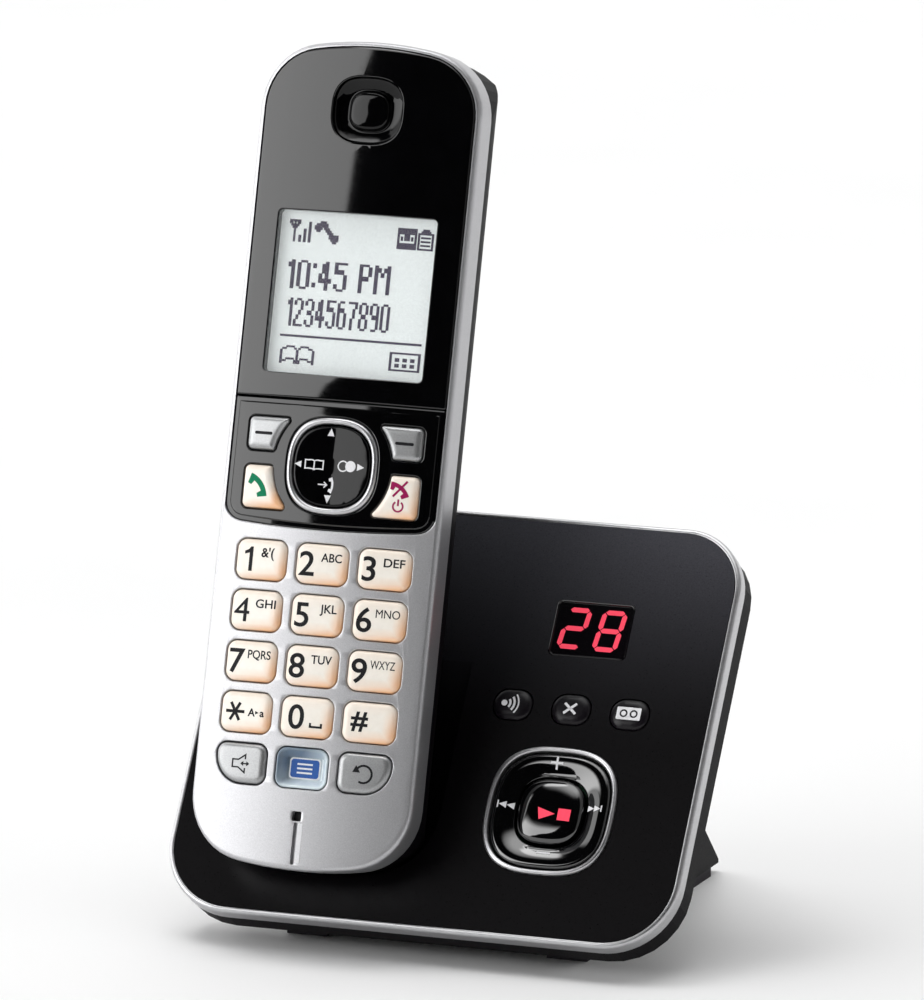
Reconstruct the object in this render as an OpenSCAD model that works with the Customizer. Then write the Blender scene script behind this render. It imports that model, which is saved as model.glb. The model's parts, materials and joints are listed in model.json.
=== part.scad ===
// Cordless telephone: a handset standing in its answering-machine base.
// Millimetres, +Z up, +Y to the back. The table is z = 0 and the origin is in
// the middle of the footprint. Two working frames are used throughout:
//   the face frame: x across, y up the sloping face, z out of the face
//   the hand frame: x across, y along the handset from its foot, z out of its front

/* [Base] */
// Width of the base over its silver frame
base_w = 107; // [104:1:116]
// Height of the base measured up its sloping face
base_h = 88; // [86:1:96]
// Slope of the face above the table, in degrees
face_tilt = 56.5; // [55:0.5:58]
// Depth of the flat slab behind the face
slab_d = 8.5; // [8:0.25:9.5]
// Radius of the two upper corners
base_top_r = 13; // [10:0.5:16]
// Radius of the two lower corners
base_low_r = 14.5; // [12:0.5:16]
// Silver frame, width seen from the front
trim_w = 1.1; // [0.8:0.1:1.6]
// Silver frame, depth down the side
trim_d = 3.5; // [3:0.1:4]
// Height of the rubber feet
foot_h = 1.8; // [1.5:0.1:2.5]

/* [Handset] */
// Length of the handset
hand_l = 163; // [160:1:166]
// Width of the handset
hand_w = 46.4; // [46:0.2:48]
// Greatest thickness of the handset
hand_t = 27; // [26:0.5:28]
// Lean of the handset above the table, in degrees
hand_tilt = 74; // [73:0.5:75]
// Depth of the silver front case
front_d = 7.8; // [7.4:0.1:8.2]
// Radius of the crowned front
crown_r = 160; // [140:10:240]
// Radius of the corners of the handset's outline
hand_r = 13; // [11:0.5:15]
// Radius of the bowed ends of the outline
bow_r = 75; // [60:5:120]
// Silver border around the two glossy panels
border = 1; // [0.8:0.1:1.4]
// Seam between the display panel and the navigation panel
seam_y = 92; // [91:0.5:93]

/* [Keys] */
// Width of a number key
key_w = 10.8; // [10:0.1:11]
// Height of a number key
key_h = 7.9; // [7.4:0.1:8.2]
// Spacing of the keys across the handset
key_dx = 12.93; // [12.8:0.01:13.2]
// Spacing of the keys along the handset
key_dy = 10; // [9.8:0.1:10.2]
// Height of a key above the case
key_lift = 0.55; // [0.4:0.05:0.8]
// Gap around a key
key_gap = 0.18; // [0.12:0.02:0.25]

/* [Display] */
// Width of the screen window
screen_w = 33.3; // [32:0.1:34]
// Height of the screen window
screen_h = 32; // [31:0.1:33]

/* [Cradle] */
// Clearance between the handset and its pocket
clear = 0.4; // [0.3:0.05:0.6]

/* [Hidden] */

eps = 0.05;
far = 60;

// Where the two frames stand
face_z = 7.3;
hand_x = -22;
hand_y = -6.3;
hand_z = 18.7;
leg_tip_y = 92.5;
mid_y = (hand_y + leg_tip_y) / 2;

// Layers of the handset, measured down from the crown of its front
plate_z = -3.6;
seat_z = -2.6;
key_z = -5.2;
flange_z = -4.4;
mat_z = -6.15;
board_z = -6.8;
board_t = 1.2;
wall = 1.7;
back_mid = 80;
back_half = 83;
back_bow = 7;
rear_step = 0.8;
section_power = 2.3;
end_soft = 5;

// Places on the handset
screen_y = 113;
nav_y = 79.3;
nav_half = 9.5;
nav_key_half = 8;
side_key_x = 18.3;
side_key_r = 12.6;
soft_y = [81.5, 88.1];
call_y = [70.1, 78.5];
side_key_lift = 0.9;
nav_r = 7.6;
nav_key_r = 6.5;
// Corner radii of the keys: upper right, upper left, lower left, lower right
key_r = [2, 2, 2, 2];
big_left = [2, 2, 5.6, 2];
big_right = [2, 2, 2, 5.6];
ear_y = 149.4;
mic_y = 10.6;
row_1_y = 60;
door_y = [53.5, 112];
door_w = 30;
door_t = 1.5;
door_run = 5.5;
door_play = 0.2;
cell_d = 10.4;
cell_l = 44.4;
cell_y = 58.5;
cell_x = 5.5;
cell_z = -18.6;
// Tray for the two cells, open to the back under the door
tray_x = 2 * cell_x + 1.4;
tray_y = [cell_y - 3.6, cell_y + cell_l + 1.4];
tray_z = cell_z + cell_d / 2 + 0.2;
tray_wall = 1.2;
pad_x = 14;
pad_y = 8.5;
pad = [4, 5, 1.4];
screws = [[14, 136.5], [6.5, 9.5]];
screw_head_z = -14;
ringer_y = 132;

// Places on the face of the base
front_t = 2;
rear_t = 1.8;
led_c = [24.75, 65.1];
led_w = 16.3;
led_h = 11.8;
led_r = [1.1, 1.1, 1.1, 1.1];
button_y = 48.2;
button_dx = 12.2;
button_x = 24;
button_w = 8;
button_h = 6.3;
button_r = [2.9, 2.9, 2.9, 2.9];
ring_c = [24, 26.9];
ring_half = 13.3;
ring_key_half = 12;
play_half = 6.8;
ring_r = 9.8;
ring_key_r = 8.7;
play_r = 5.2;
bulge_d = 15;
bulge_x = [-50, 6];
bulge_y = [5, 40];
base_posts = [[46, 16], [46, 76], [-46, 76], [-46, 58]];
post_d = 5.6;

// Rear housing, in table coordinates (y back, z up)
house_x = 27;
leg_x = 31.2;
house_y = 66;
house_top = 61;
jack_z = 17;
jack_x = -13;
jack_half = [6.5, 6];
inlet_x = 11;
inlet_half = 5;
speaker_y = 35;

// ---------------------------------------------------------------- outlines
function arc(cx, cy, r, a0, a1, n = 7) =
  [for (i = [0:n]) let (a = a0 + (a1 - a0) * i / n) [cx + r * cos(a), cy + r * sin(a)]];

function arc_inside(cx, cy, r, a0, a1, n = 6) =
  [for (i = [1:n - 1]) let (a = a0 + (a1 - a0) * i / n) [cx + r * cos(a), cy + r * sin(a)]];

// A rounded rectangle with its own radius at each corner:
// upper right, upper left, lower left, lower right
function rounded(w, h, r, n = 4) = concat(
  arc(w / 2 - r[0], h / 2 - r[0], r[0], 0, 90, n),
  arc(r[1] - w / 2, h / 2 - r[1], r[1], 90, 180, n),
  arc(r[2] - w / 2, r[2] - h / 2, r[2], 180, 270, n),
  arc(w / 2 - r[3], r[3] - h / 2, r[3], 270, 360, n));

function moved(points, x, y) = [for (p = points) [p[0] + x, p[1] + y]];

// A bowed end of half width w that reaches y: two corner arcs of radius r
// that run smoothly into one shallow arc of radius bow
function bowed_top(w, y, r, bow, n = 7) =
  let (k = sqrt(pow(bow - r, 2) - pow(w - r, 2)), b = atan2(w - r, k))
  concat(
    arc(w - r, y - bow + k, r, 0, 90 - b, n),
    arc_inside(0, y - bow, bow, 90 - b, 90 + b),
    arc(r - w, y - bow + k, r, 90 + b, 180, n));

function bowed_foot(w, y, r, bow, n = 7) =
  [for (p = bowed_top(w, 0, r, bow, n)) [-p[0], y - p[1]]];

// The handset's outline, drawn in by o
function hand_outline(o = 0) = concat(
  bowed_top(hand_w / 2 - o, hand_l - o, hand_r - o, bow_r - o),
  bowed_foot(hand_w / 2 - o, o, hand_r - o, bow_r - o));

function display_outline(o = 0) =
  let (w = hand_w / 2 - o)
  concat(bowed_top(w, hand_l - o, hand_r - o, bow_r - o), [[-w, seam_y + eps], [w, seam_y + eps]]);

function nav_outline(o = 0) =
  let (w = hand_w / 2 - o)
  concat([[w, seam_y - eps], [-w, seam_y - eps]], bowed_foot(w, 66.6, 4, 220, 4));

// Depth of the handset's back at a place along its length
function back_z(y) = back_bow * pow((y - back_mid) / back_half, 2) - hand_t;

// The back of the handset from the side (y along it, z out of its front);
// soft is how much the two ends are rounded
function hand_side(o, y0, y1, soft, n = 24) =
  let (e = end_soft)
  concat([[y1, far], [y0, far]],
    [for (i = [0:n])
      let (y = y0 + (y1 - y0) * i / n,
           q = max(0, (y0 + e - y) / e, (y - y1 + e) / e))
      [y, back_z(y) + o + soft * (1 - sqrt(max(0, 1 - q * q)))]]);

// The rear case across the handset (x across, z out of its front): straight
// down from the front case and then one superelliptic sweep round the back
function hand_section(o, n = 36) =
  let (w = hand_w / 2 - rear_step - o, d = hand_t - front_d - o)
  concat([[w, far], [-w, far]],
    [for (i = [0:n])
      let (a = 180 * i / n, c = cos(a), s = sin(a))
      [-w * sign(c) * pow(abs(c), 2 / section_power),
       -front_d - d * pow(max(0, s), 2 / section_power)]]);

function base_outline(o = 0) = moved(
  rounded(base_w - 2 * o, base_h - 2 * o,
    [base_top_r - o, base_top_r - o, base_low_r - o, base_low_r - o], 7),
  0, base_h / 2);

function squircle(half, r, n = 6) = rounded(2 * half, 2 * half, [r, r, r, r], n);

// A place on the base's slab as table coordinates [y, z]
function slab_point(y, z) =
  [y * cos(face_tilt) - z * sin(face_tilt),
   face_z + y * sin(face_tilt) + z * cos(face_tilt)];

// ------------------------------------------------------------------ frames
module on_table() { translate([0, -mid_y, 0]) children(); }
module on_face() { on_table() translate([0, 0, face_z]) rotate([face_tilt, 0, 0]) children(); }
module on_hand() { on_table() translate([hand_x, hand_y, hand_z]) rotate([hand_tilt, 0, 0]) children(); }

module prism(points, z0, z1) {
  translate([0, 0, z0]) linear_extrude(z1 - z0) polygon(points);
}

// Extrudes a side view (y, z) across x, or a section (x, z) along y
module across(points, x0, x1) {
  translate([x0, 0, 0]) rotate([90, 0, 90]) linear_extrude(x1 - x0) polygon(points);
}
module along(points, y0, y1) {
  translate([0, y1, 0]) rotate([90, 0, 0]) linear_extrude(y1 - y0) polygon(points);
}
module slab(x0, x1, y0, y1, z0, z1) {
  translate([x0, y0, z0]) cube([x1 - x0, y1 - y0, z1 - z0]);
}
module post(x, y, z0, z1, d) {
  translate([x, y, z0]) cylinder(d = d, h = z1 - z0, $fn = 48);
}

// The crowned front surface as a solid, raised by lift
module crown(lift = 0) {
  translate([0, -10, -crown_r]) rotate([-90, 0, 0])
    cylinder(r = crown_r + lift, h = hand_l + 20, $fn = 360);
}

// ------------------------------------------------------------ handset keys
function key_x(col) = (col - 1) * key_dx;
function key_y(row) = row_1_y - row * key_dy;

// A key cap with a crowned top and a flange that keeps it in the case
module key_cap(col, row, corners = key_r) {
  on_hand() {
    intersection() {
      prism(moved(rounded(key_w, key_h, corners), key_x(col), key_y(row)), flange_z, 3);
      crown(key_lift);
    }
    prism(moved(rounded(key_w + 1.2, key_h + 1.2, corners), key_x(col), key_y(row)), key_z, flange_z);
  }
}

module key_hole(col, row, corners = key_r) {
  prism(moved(rounded(key_w + 2 * key_gap, key_h + 2 * key_gap, corners),
    key_x(col), key_y(row)), plate_z - 1, 3);
}

// Keys beside the navigation ring: side -1 is left, grow widens the outline
module side_key_shape(side, span, grow = 0) {
  difference() {
    translate([side > 0 ? 9 : -side_key_x - grow, span[0] - grow])
      square([side_key_x - 9 + grow, span[1] - span[0] + 2 * grow]);
    translate([0, nav_y]) circle(r = side_key_r - grow, $fn = 96);
  }
}
module side_key(side, span) {
  on_hand() intersection() {
    translate([0, 0, key_z]) linear_extrude(8) side_key_shape(side, span);
    crown(side_key_lift);
  }
}
module side_key_hole(side, span) {
  translate([0, 0, -9]) linear_extrude(12) side_key_shape(side, span, key_gap);
}

module soft_key_left() { color("silver") side_key(-1, soft_y); }
module soft_key_right() { color("silver") side_key(1, soft_y); }
module talk_key() { color("gainsboro") side_key(-1, call_y); }
module end_key() { color("gainsboro") side_key(1, call_y); }

module key_1() { color("ivory") key_cap(0, 0); }
module key_2() { color("ivory") key_cap(1, 0); }
module key_3() { color("ivory") key_cap(2, 0); }
module key_4() { color("ivory") key_cap(0, 1); }
module key_5() { color("ivory") key_cap(1, 1); }
module key_6() { color("ivory") key_cap(2, 1); }
module key_7() { color("ivory") key_cap(0, 2); }
module key_8() { color("ivory") key_cap(1, 2); }
module key_9() { color("ivory") key_cap(2, 2); }
module key_star() { color("ivory") key_cap(0, 3); }
module key_0() { color("ivory") key_cap(1, 3); }
module key_hash() { color("ivory") key_cap(2, 3); }
module speaker_key() { color("silver") key_cap(0, 4, big_left); }
module function_key() { color("lightsteelblue") key_cap(1, 4); }
module recall_key() { color("silver") key_cap(2, 4, big_right); }

module nav_ring() {
  color("silver") on_hand() intersection() {
    difference() {
      prism(moved(squircle(nav_half, nav_r), 0, nav_y), seat_z, 3);
      prism(moved(squircle(nav_key_half + 0.3, nav_key_r + 0.2), 0, nav_y), seat_z - 1, 4);
    }
    crown(0.5);
  }
}

module nav_key() {
  color([0.08, 0.08, 0.09]) on_hand() intersection() {
    prism(moved(squircle(nav_key_half, nav_key_r), 0, nav_y), -3.8, 3);
    crown(0.3);
  }
}

// The small cross plate on which the navigation key rocks
module nav_pivot() {
  color("dimgray") on_hand() translate([0, nav_y, -5]) cylinder(d = 6, h = 0.8, $fn = 48);
}

// ------------------------------------------------------------ handset body
module front_case_holes() {
  for (row = [0:3], col = [0:2]) key_hole(col, row);
  key_hole(0, 4, big_left);
  key_hole(1, 4);
  key_hole(2, 4, big_right);
  // screen, navigation key, side keys and earpiece
  slab(-screen_w / 2 - 1.2, screen_w / 2 + 1.2, screen_y - 17.2, screen_y + 17.2, -9, 3);
  prism(moved(squircle(nav_key_half + 0.3, nav_key_r + 0.2), 0, nav_y), -9, 3);
  for (side = [-1, 1]) {
    side_key_hole(side, soft_y);
    side_key_hole(side, call_y);
  }
  post(0, ear_y, -9, 3, 14.8);
  // microphone hole and the groove that runs to the foot
  slab(-0.95, 0.95, mic_y - 0.9, mic_y + 0.9, -9, 3);
  slab(-0.4, 0.4, -1, mic_y - 0.85, -1.1, 3);
}

module handset_front_case() {
  color("silver") on_hand() {
    difference() {
      intersection() {
        prism(hand_outline(), -front_d, 2);
        crown();
      }
      prism(hand_outline(wall), -front_d - 1, plate_z);
      prism(display_outline(border), seat_z, 3);
      prism(nav_outline(border), seat_z, 3);
      front_case_holes();
    }
    for (p = screws, side = [-1, 1]) difference() {
      post(side * p[0], p[1], board_z - board_t - 0.8, plate_z + eps, 4.6);
      post(side * p[0], p[1], -far, -4.8, 2.2);
    }
  }
}

module display_panel() {
  color([0.05, 0.05, 0.06]) on_hand() difference() {
    intersection() {
      prism(display_outline(border + eps), seat_z + eps, 2);
      crown(0.12);
    }
    slab(-screen_w / 2, screen_w / 2, screen_y - screen_h / 2, screen_y + screen_h / 2, -9, 3);
    prism(moved(rounded(14.6, 13.2, [5.6, 5.6, 5.6, 5.6], 6), 0, ear_y), -9, 3);
  }
}

module lcd_lens() {
  color([0.85, 0.9, 0.92, 0.4]) on_hand() intersection() {
    slab(-screen_w / 2 + eps, screen_w / 2 - eps,
      screen_y - screen_h / 2 + eps, screen_y + screen_h / 2 - eps, -1.5, 1);
    crown(0.1);
  }
}

module lcd_module() {
  color("lightgray") on_hand()
    slab(-screen_w / 2 - 1, screen_w / 2 + 1, screen_y - 17, screen_y + 17, board_z + eps, -2.75);
}

module nav_panel() {
  color([0.05, 0.05, 0.06]) on_hand() difference() {
    intersection() {
      prism(nav_outline(border + eps), seat_z + eps, 2);
      crown(0.12);
    }
    prism(moved(squircle(nav_half + eps, nav_r), 0, nav_y), -9, 3);
    for (side = [-1, 1]) {
      side_key_hole(side, soft_y);
      side_key_hole(side, call_y);
    }
  }
}

module earpiece_cover() {
  color([0.08, 0.08, 0.09]) on_hand() difference() {
    union() {
      prism(moved(rounded(14.4, 13, [5.5, 5.5, 5.5, 5.5], 6), 0, ear_y), -2.5, -1.6);
      prism(moved(rounded(7.8, 7.1, [3.4, 3.4, 3.4, 3.4], 6), 0, ear_y), -1.6, -0.6);
    }
    for (a = [0:45:315])
      translate([0, ear_y, 0]) rotate([0, 0, a]) post(5, 0, -4, 0, 1.1);
  }
}

module earpiece_speaker() {
  color("dimgray") on_hand() {
    post(0, ear_y, board_z + eps, -3.6, 14);
    post(0, ear_y, -3.6, -2.9, 9);
  }
}

module microphone() {
  color("gray") on_hand() post(0, mic_y, board_z + eps, -4.6, 4);
}

module keypad_mat() {
  color([0.55, 0.57, 0.6]) on_hand() difference() {
    slab(-19.6, 19.6, 14.5, 91, board_z + eps, mat_z);
    post(0, nav_y, -9, 0, 7);
  }
}

module handset_board() {
  color("darkgreen") on_hand() difference() {
    prism(hand_outline(3), board_z - board_t, board_z);
    for (p = screws, side = [-1, 1]) post(side * p[0], p[1], -9, 0, 5.2);
  }
}

module rear_shape(o) {
  intersection() {
    prism(hand_outline(rear_step + o), -hand_t - 2, -front_d);
    across(hand_side(o, o, hand_l - o, end_soft), -hand_w, hand_w);
    along(hand_section(o), -1, hand_l + 1);
  }
}

module handset_rear_case() {
  color([0.07, 0.07, 0.08]) on_hand() {
    difference() {
      union() {
        difference() {
          rear_shape(0);
          intersection() {
            translate([0, 0, 0.5]) rear_shape(wall);
            slab(-far, far, -far, far * 4, -hand_t, far);
          }
          prism(hand_outline(rear_step + wall), -front_d - 0.6, 0);
        }
        // tray walls and floor
        intersection() {
          slab(-tray_x - tray_wall, tray_x + tray_wall, tray_y[0] - tray_wall, tray_y[1] + tray_wall,
            -hand_t, tray_z + tray_wall);
          rear_shape(1);
        }
        // screw posts
        for (p = screws, side = [-1, 1]) intersection() {
          post(side * p[0], p[1], -hand_t, board_z - board_t - 0.9, 5.4);
          rear_shape(0.6);
        }
      }
      slab(-tray_x, tray_x, tray_y[0], tray_y[1], -hand_t - 2, tray_z);
      // seat of the sliding door, longer than the door by its travel
      difference() {
        slab(-door_w / 2 - door_play, door_w / 2 + door_play,
          door_y[0] - door_run - door_play, door_y[1] + door_play, -hand_t - 2, -front_d - 2);
        rear_shape(door_t + 0.5);
      }
      // sound holes of the ringer, screw holes and contact slots
      for (a = [0:60:300])
        translate([0, ringer_y, 0]) rotate([0, 0, a]) post(3.6, 0, -far, -20, 1.4);
      post(0, ringer_y, -far, -20, 1.4);
      for (p = screws, side = [-1, 1]) {
        post(side * p[0], p[1], -far, 0, 2.3);
        post(side * p[0], p[1], -far, screw_head_z, 4.2);
      }
      for (side = [-1, 1])
        slab(side * pad_x - pad[0] / 2 - eps, side * pad_x + pad[0] / 2 + eps,
          pad_y - pad[1] / 2 - eps, pad_y + pad[1] / 2 + eps, -far, -18);
    }
  }
}

module battery_door() {
  color([0.09, 0.09, 0.1]) on_hand() difference() {
    intersection() {
      rear_shape(0);
      slab(-door_w / 2, door_w / 2, door_y[0], door_y[1], -far, 0);
    }
    rear_shape(door_t);
    // thumb grooves
    for (i = [0:4]) slab(-6, 6, door_y[0] + 5 + 2.2 * i, door_y[0] + 6.1 + 2.2 * i, -far, 1 - hand_t);
  }
}

module battery_cells() {
  for (side = [-1, 1]) on_hand() translate([side * cell_x, cell_y, cell_z]) rotate([-90, 0, 0]) {
    color("steelblue") cylinder(d = cell_d, h = cell_l - 1, $fn = 64);
    color("silver") translate([0, 0, cell_l - 1]) cylinder(d = 3.6, h = 1, $fn = 32);
  }
}

// Contact plates at the two ends of the cells, with a stepped spring each
module battery_springs() {
  color("gold") for (side = [-1, 1]) on_hand() translate([side * cell_x, 0, cell_z]) rotate([-90, 0, 0]) {
    translate([0, 0, tray_y[0] + 0.1]) cylinder(d = 8.4, h = 0.6, $fn = 48);
    translate([0, 0, tray_y[0] + 0.7]) cylinder(d = 7, h = 1.2, $fn = 48);
    translate([0, 0, tray_y[0] + 1.9]) cylinder(d = 5.4, h = cell_y - tray_y[0] - 2, $fn = 48);
    translate([0, 0, cell_y + cell_l + eps]) cylinder(d = 8.4, h = 0.6, $fn = 48);
  }
}

module ringer_speaker() {
  color("dimgray") on_hand() {
    post(0, ringer_y, -19.6, -17, 20);
    post(0, ringer_y, -17, -15.4, 12);
  }
}

module handset_charge_pads() {
  color("gold") for (side = [-1, 1]) on_hand()
    slab(side * pad_x - pad[0] / 2, side * pad_x + pad[0] / 2, pad_y - pad[1] / 2,
      pad_y + pad[1] / 2, back_z(pad_y) + 0.25, back_z(pad_y) + 0.25 + pad[2]);
}

module handset_screws() {
  color("silver") for (p = screws, side = [-1, 1]) on_hand() {
    post(side * p[0], p[1], screw_head_z - 2.2, screw_head_z - eps, 3.8);
    post(side * p[0], p[1], screw_head_z - eps, -5, 2.1);
  }
}

// -------------------------------------------------------------- base body
// Everything the docked handset fills, grown by o, open at the front
module hand_envelope(o) {
  on_hand() intersection() {
    prism(hand_outline(-o), -far, far);
    across(hand_side(-o, -o, 70, 0), -far, far);
  }
}

module ring_hole(half, r) { prism(moved(squircle(half, r), ring_c[0], ring_c[1]), -far, far); }

module base_front_cover() {
  color([0.06, 0.06, 0.07]) difference() {
    union() {
      on_face() prism(base_outline(trim_w + eps), -front_t, 0);
      on_face() for (p = base_posts) post(p[0], p[1], rear_t - slab_d + 0.1, -1, post_d);
      // walls of the cradle's pocket
      intersection() {
        hand_envelope(clear + 1.6);
        on_face() prism(base_outline(4), -12.5, -1);
      }
    }
    hand_envelope(clear);
    on_face() {
      prism(moved(rounded(led_w, led_h, led_r), led_c[0], led_c[1]), -9, 1);
      for (i = [-1:1])
        prism(moved(rounded(button_w + 0.4, button_h + 0.4, button_r),
          button_x + i * button_dx, button_y), -9, 1);
      ring_hole(ring_half + eps, ring_r);
    }
    on_face() for (p = base_posts) post(p[0], p[1], -far, -1.2, 2.7);
    // slots of the charge contacts
    on_hand() for (side = [-1, 1])
      slab(side * pad_x - 1.4, side * pad_x + 1.4, pad_y - 1.9, pad_y + 1.9, -far, -20);
  }
}

module base_trim_frame() {
  color("silver") on_face() difference() {
    prism(base_outline(), -trim_d, -0.3);
    prism(base_outline(trim_w), -trim_d - 1, 1);
  }
}

// Side view of the rear housing and of the two legs
house_side = [slab_point(2, -7.5), [13, foot_h], [house_y, foot_h],
  [house_y, leg_tip_y + foot_h - house_y], slab_point(house_top, -7.5)];
leg_side = [slab_point(4, -7.5), [13, foot_h], [leg_tip_y, foot_h],
  [leg_tip_y, foot_h + 0.8], slab_point(house_top, -7.5)];
house_inside = [slab_point(6, -5), [15.5, foot_h + 2], [house_y - 2, foot_h + 2],
  [house_y - 2, leg_tip_y + foot_h - house_y - 0.9], slab_point(house_top - 4, -5)];

module base_rear_cover() {
  color([0.07, 0.07, 0.08]) difference() {
    union() {
      on_face() prism(base_outline(0.2), -slab_d, -trim_d - eps);
      on_face() slab(bulge_x[0], bulge_x[1], bulge_y[0], bulge_y[1], -bulge_d, -slab_d + 1);
      on_table() across(house_side, -house_x, house_x);
      on_table() for (side = [-1, 1])
        across(leg_side, side > 0 ? house_x : -leg_x, side > 0 ? leg_x : -house_x);
    }
    on_face() prism(base_outline(2), rear_t - slab_d, 1);
    on_face() for (p = base_posts) {
      post(p[0], p[1], -far, 0, 3);
      post(p[0], p[1], -far, 0.6 - slab_d, 5.2);
    }
    on_face() slab(bulge_x[0] + 1.7, bulge_x[1] - 1.7, bulge_y[0] + 1.8, bulge_y[1] - 1.8, 1.7 - bulge_d, 0);
    on_table() across(house_inside, 2 - house_x, house_x - 2);
    on_table() {
      // openings for the two sockets in the rear wall
      slab(jack_x - jack_half[0] - 0.1, jack_x + jack_half[0] + 0.1, house_y - 5, house_y + 1,
        jack_z - jack_half[1] - 0.1, jack_z + jack_half[1] + 0.1);
      slab(inlet_x - inlet_half - 0.1, inlet_x + inlet_half + 0.1, house_y - 5, house_y + 1,
        jack_z - inlet_half - 0.1, jack_z + inlet_half + 0.1);
      // sound slots of the loudspeaker in the floor
      for (i = [-2:2]) slab(4 * i - 0.8, 4 * i + 0.8, speaker_y - 8, speaker_y + 8, -1, 5);
    }
  }
}

module base_feet() {
  color([0.12, 0.12, 0.12]) on_table() for (side = [-1, 1]) {
    slab(side * 27.4 - 4.2, side * 27.4 + 4.2, 15.3, 25, 0, foot_h);
    slab(side * 29.2 - 2, side * 29.2 + 2, 78, 88, 0, foot_h);
  }
}

module display_window() {
  color([0.1, 0.03, 0.03]) on_face()
    prism(moved(rounded(led_w - 2 * eps, led_h - 2 * eps, led_r), led_c[0], led_c[1]), -1.2, 0.1);
}

module led_display() {
  color("dimgray") on_face()
    slab(led_c[0] - 7.4, led_c[0] + 7.4, led_c[1] - 5.2, led_c[1] + 5.2, -5.1, -1.3);
}

module base_button(place) {
  color([0.1, 0.1, 0.11]) on_face() {
    x = button_x + place * button_dx;
    prism(moved(rounded(button_w, button_h, button_r), x, button_y), -3, 0.8);
    prism(moved(rounded(button_w + 1.4, button_h + 1.4, button_r), x, button_y), -3.8, -3);
  }
}
module locator_button() { base_button(-1); }
module erase_button() { base_button(0); }
module answer_button() { base_button(1); }

module base_ring_trim() {
  color("silver") on_face() difference() {
    prism(moved(squircle(ring_half, ring_r), ring_c[0], ring_c[1]), -front_t, 0.7);
    ring_hole(ring_key_half + 0.3, ring_key_r + 0.2);
  }
}

module base_ring_key() {
  color([0.07, 0.07, 0.08]) on_face() difference() {
    prism(moved(squircle(ring_key_half, ring_key_r), ring_c[0], ring_c[1]), -2.8, 0.6);
    ring_hole(play_half + 0.4, play_r + 0.2);
  }
}

// The ring-shaped plate on which the four-way key rocks
module base_ring_pivot() {
  color("dimgray") on_face() difference() {
    post(ring_c[0], ring_c[1], -4.2, -3.5, 21);
    post(ring_c[0], ring_c[1], -5, -3, 19);
  }
}

module play_stop_button() {
  color([0.09, 0.09, 0.1]) on_face() {
    prism(moved(squircle(play_half, play_r), ring_c[0], ring_c[1]), -4.2, 1.2);
  }
}

module base_board() {
  color("darkgreen") on_face() difference() {
    prism([[6.6, 8], [40, 5], [49.5, 14], [49.5, 76], [44, 82], [-40, 82], [-40, 66], [6.6, 66]], -6.4, -5.2);
    for (p = base_posts) post(p[0], p[1], -9, 0, post_d + 0.6);
  }
}

module base_speaker() {
  color("dimgray") on_table() {
    post(0, speaker_y, foot_h + 2.2, foot_h + 5.4, 32);
    post(0, speaker_y, foot_h + 5.4, foot_h + 10, 18);
  }
}

// Sprung contact: a blade with a rounded nose that meets the handset's pad
module charge_contact(side) {
  color("gold") on_hand()
    slab(side * pad_x - 1.2, side * pad_x + 1.2, pad_y - 1.6, pad_y + 1.6,
      back_z(pad_y) - 4.2, back_z(pad_y) + 0.15);
}
module charge_contact_left() { charge_contact(-1); }
module charge_contact_right() { charge_contact(1); }

module line_jack() {
  color([0.15, 0.15, 0.16]) on_table() difference() {
    slab(jack_x - jack_half[0], jack_x + jack_half[0], house_y - 13, house_y - 0.3,
      jack_z - jack_half[1], jack_z + jack_half[1]);
    slab(jack_x - 4.9, jack_x + 4.9, house_y - 11, house_y + 1, jack_z - 3.4, jack_z + 3.4);
    slab(jack_x - 2, jack_x + 2, house_y - 11, house_y + 1, jack_z - 4.8, jack_z - 3.3);
  }
}

module dc_inlet() {
  color([0.2, 0.2, 0.21]) on_table() difference() {
    slab(inlet_x - inlet_half, inlet_x + inlet_half, house_y - 12, house_y - 0.3,
      jack_z - inlet_half, jack_z + inlet_half);
    slab(inlet_x - 3.6, inlet_x + 3.6, house_y - 10, house_y + 1, jack_z - 3.2, jack_z + 3.2);
  }
}

module base_screws() {
  color("silver") on_face() for (p = base_posts) {
    post(p[0], p[1], 0.1 - slab_d, 0.5 - slab_d, 4.8);
    post(p[0], p[1], 0.5 - slab_d, -2, 2.6);
  }
}

handset_front_case();
handset_rear_case();
display_panel();
lcd_lens();
lcd_module();
nav_panel();
nav_ring();
nav_key();
nav_pivot();
soft_key_left();
soft_key_right();
talk_key();
end_key();
key_1();
key_2();
key_3();
key_4();
key_5();
key_6();
key_7();
key_8();
key_9();
key_star();
key_0();
key_hash();
speaker_key();
function_key();
recall_key();
keypad_mat();
handset_board();
earpiece_cover();
earpiece_speaker();
microphone();
ringer_speaker();
battery_cells();
battery_springs();
battery_door();
handset_charge_pads();
handset_screws();
base_front_cover();
base_trim_frame();
base_rear_cover();
display_window();
led_display();
locator_button();
erase_button();
answer_button();
base_ring_trim();
base_ring_key();
base_ring_pivot();
play_stop_button();
base_board();
base_speaker();
charge_contact_left();
charge_contact_right();
dc_inlet();
line_jack();
base_feet();
base_screws();
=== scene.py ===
"""Looks of a cordless telephone that stands in its answering-machine base.

Outlines are in millimetres in one of two places: HAND, whose x runs across the
handset, y up from its foot and z out of its front, and FACE, the same for the
sloping face of the base. Both places are found from the joints of the frame.
"""
import json
import math
from math import atan2, cos, degrees, log, pi, radians, sin, sqrt, tau

import bmesh
import bpy
from mathutils import Matrix, Vector
from mathutils.geometry import tessellate_polygon


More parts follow.
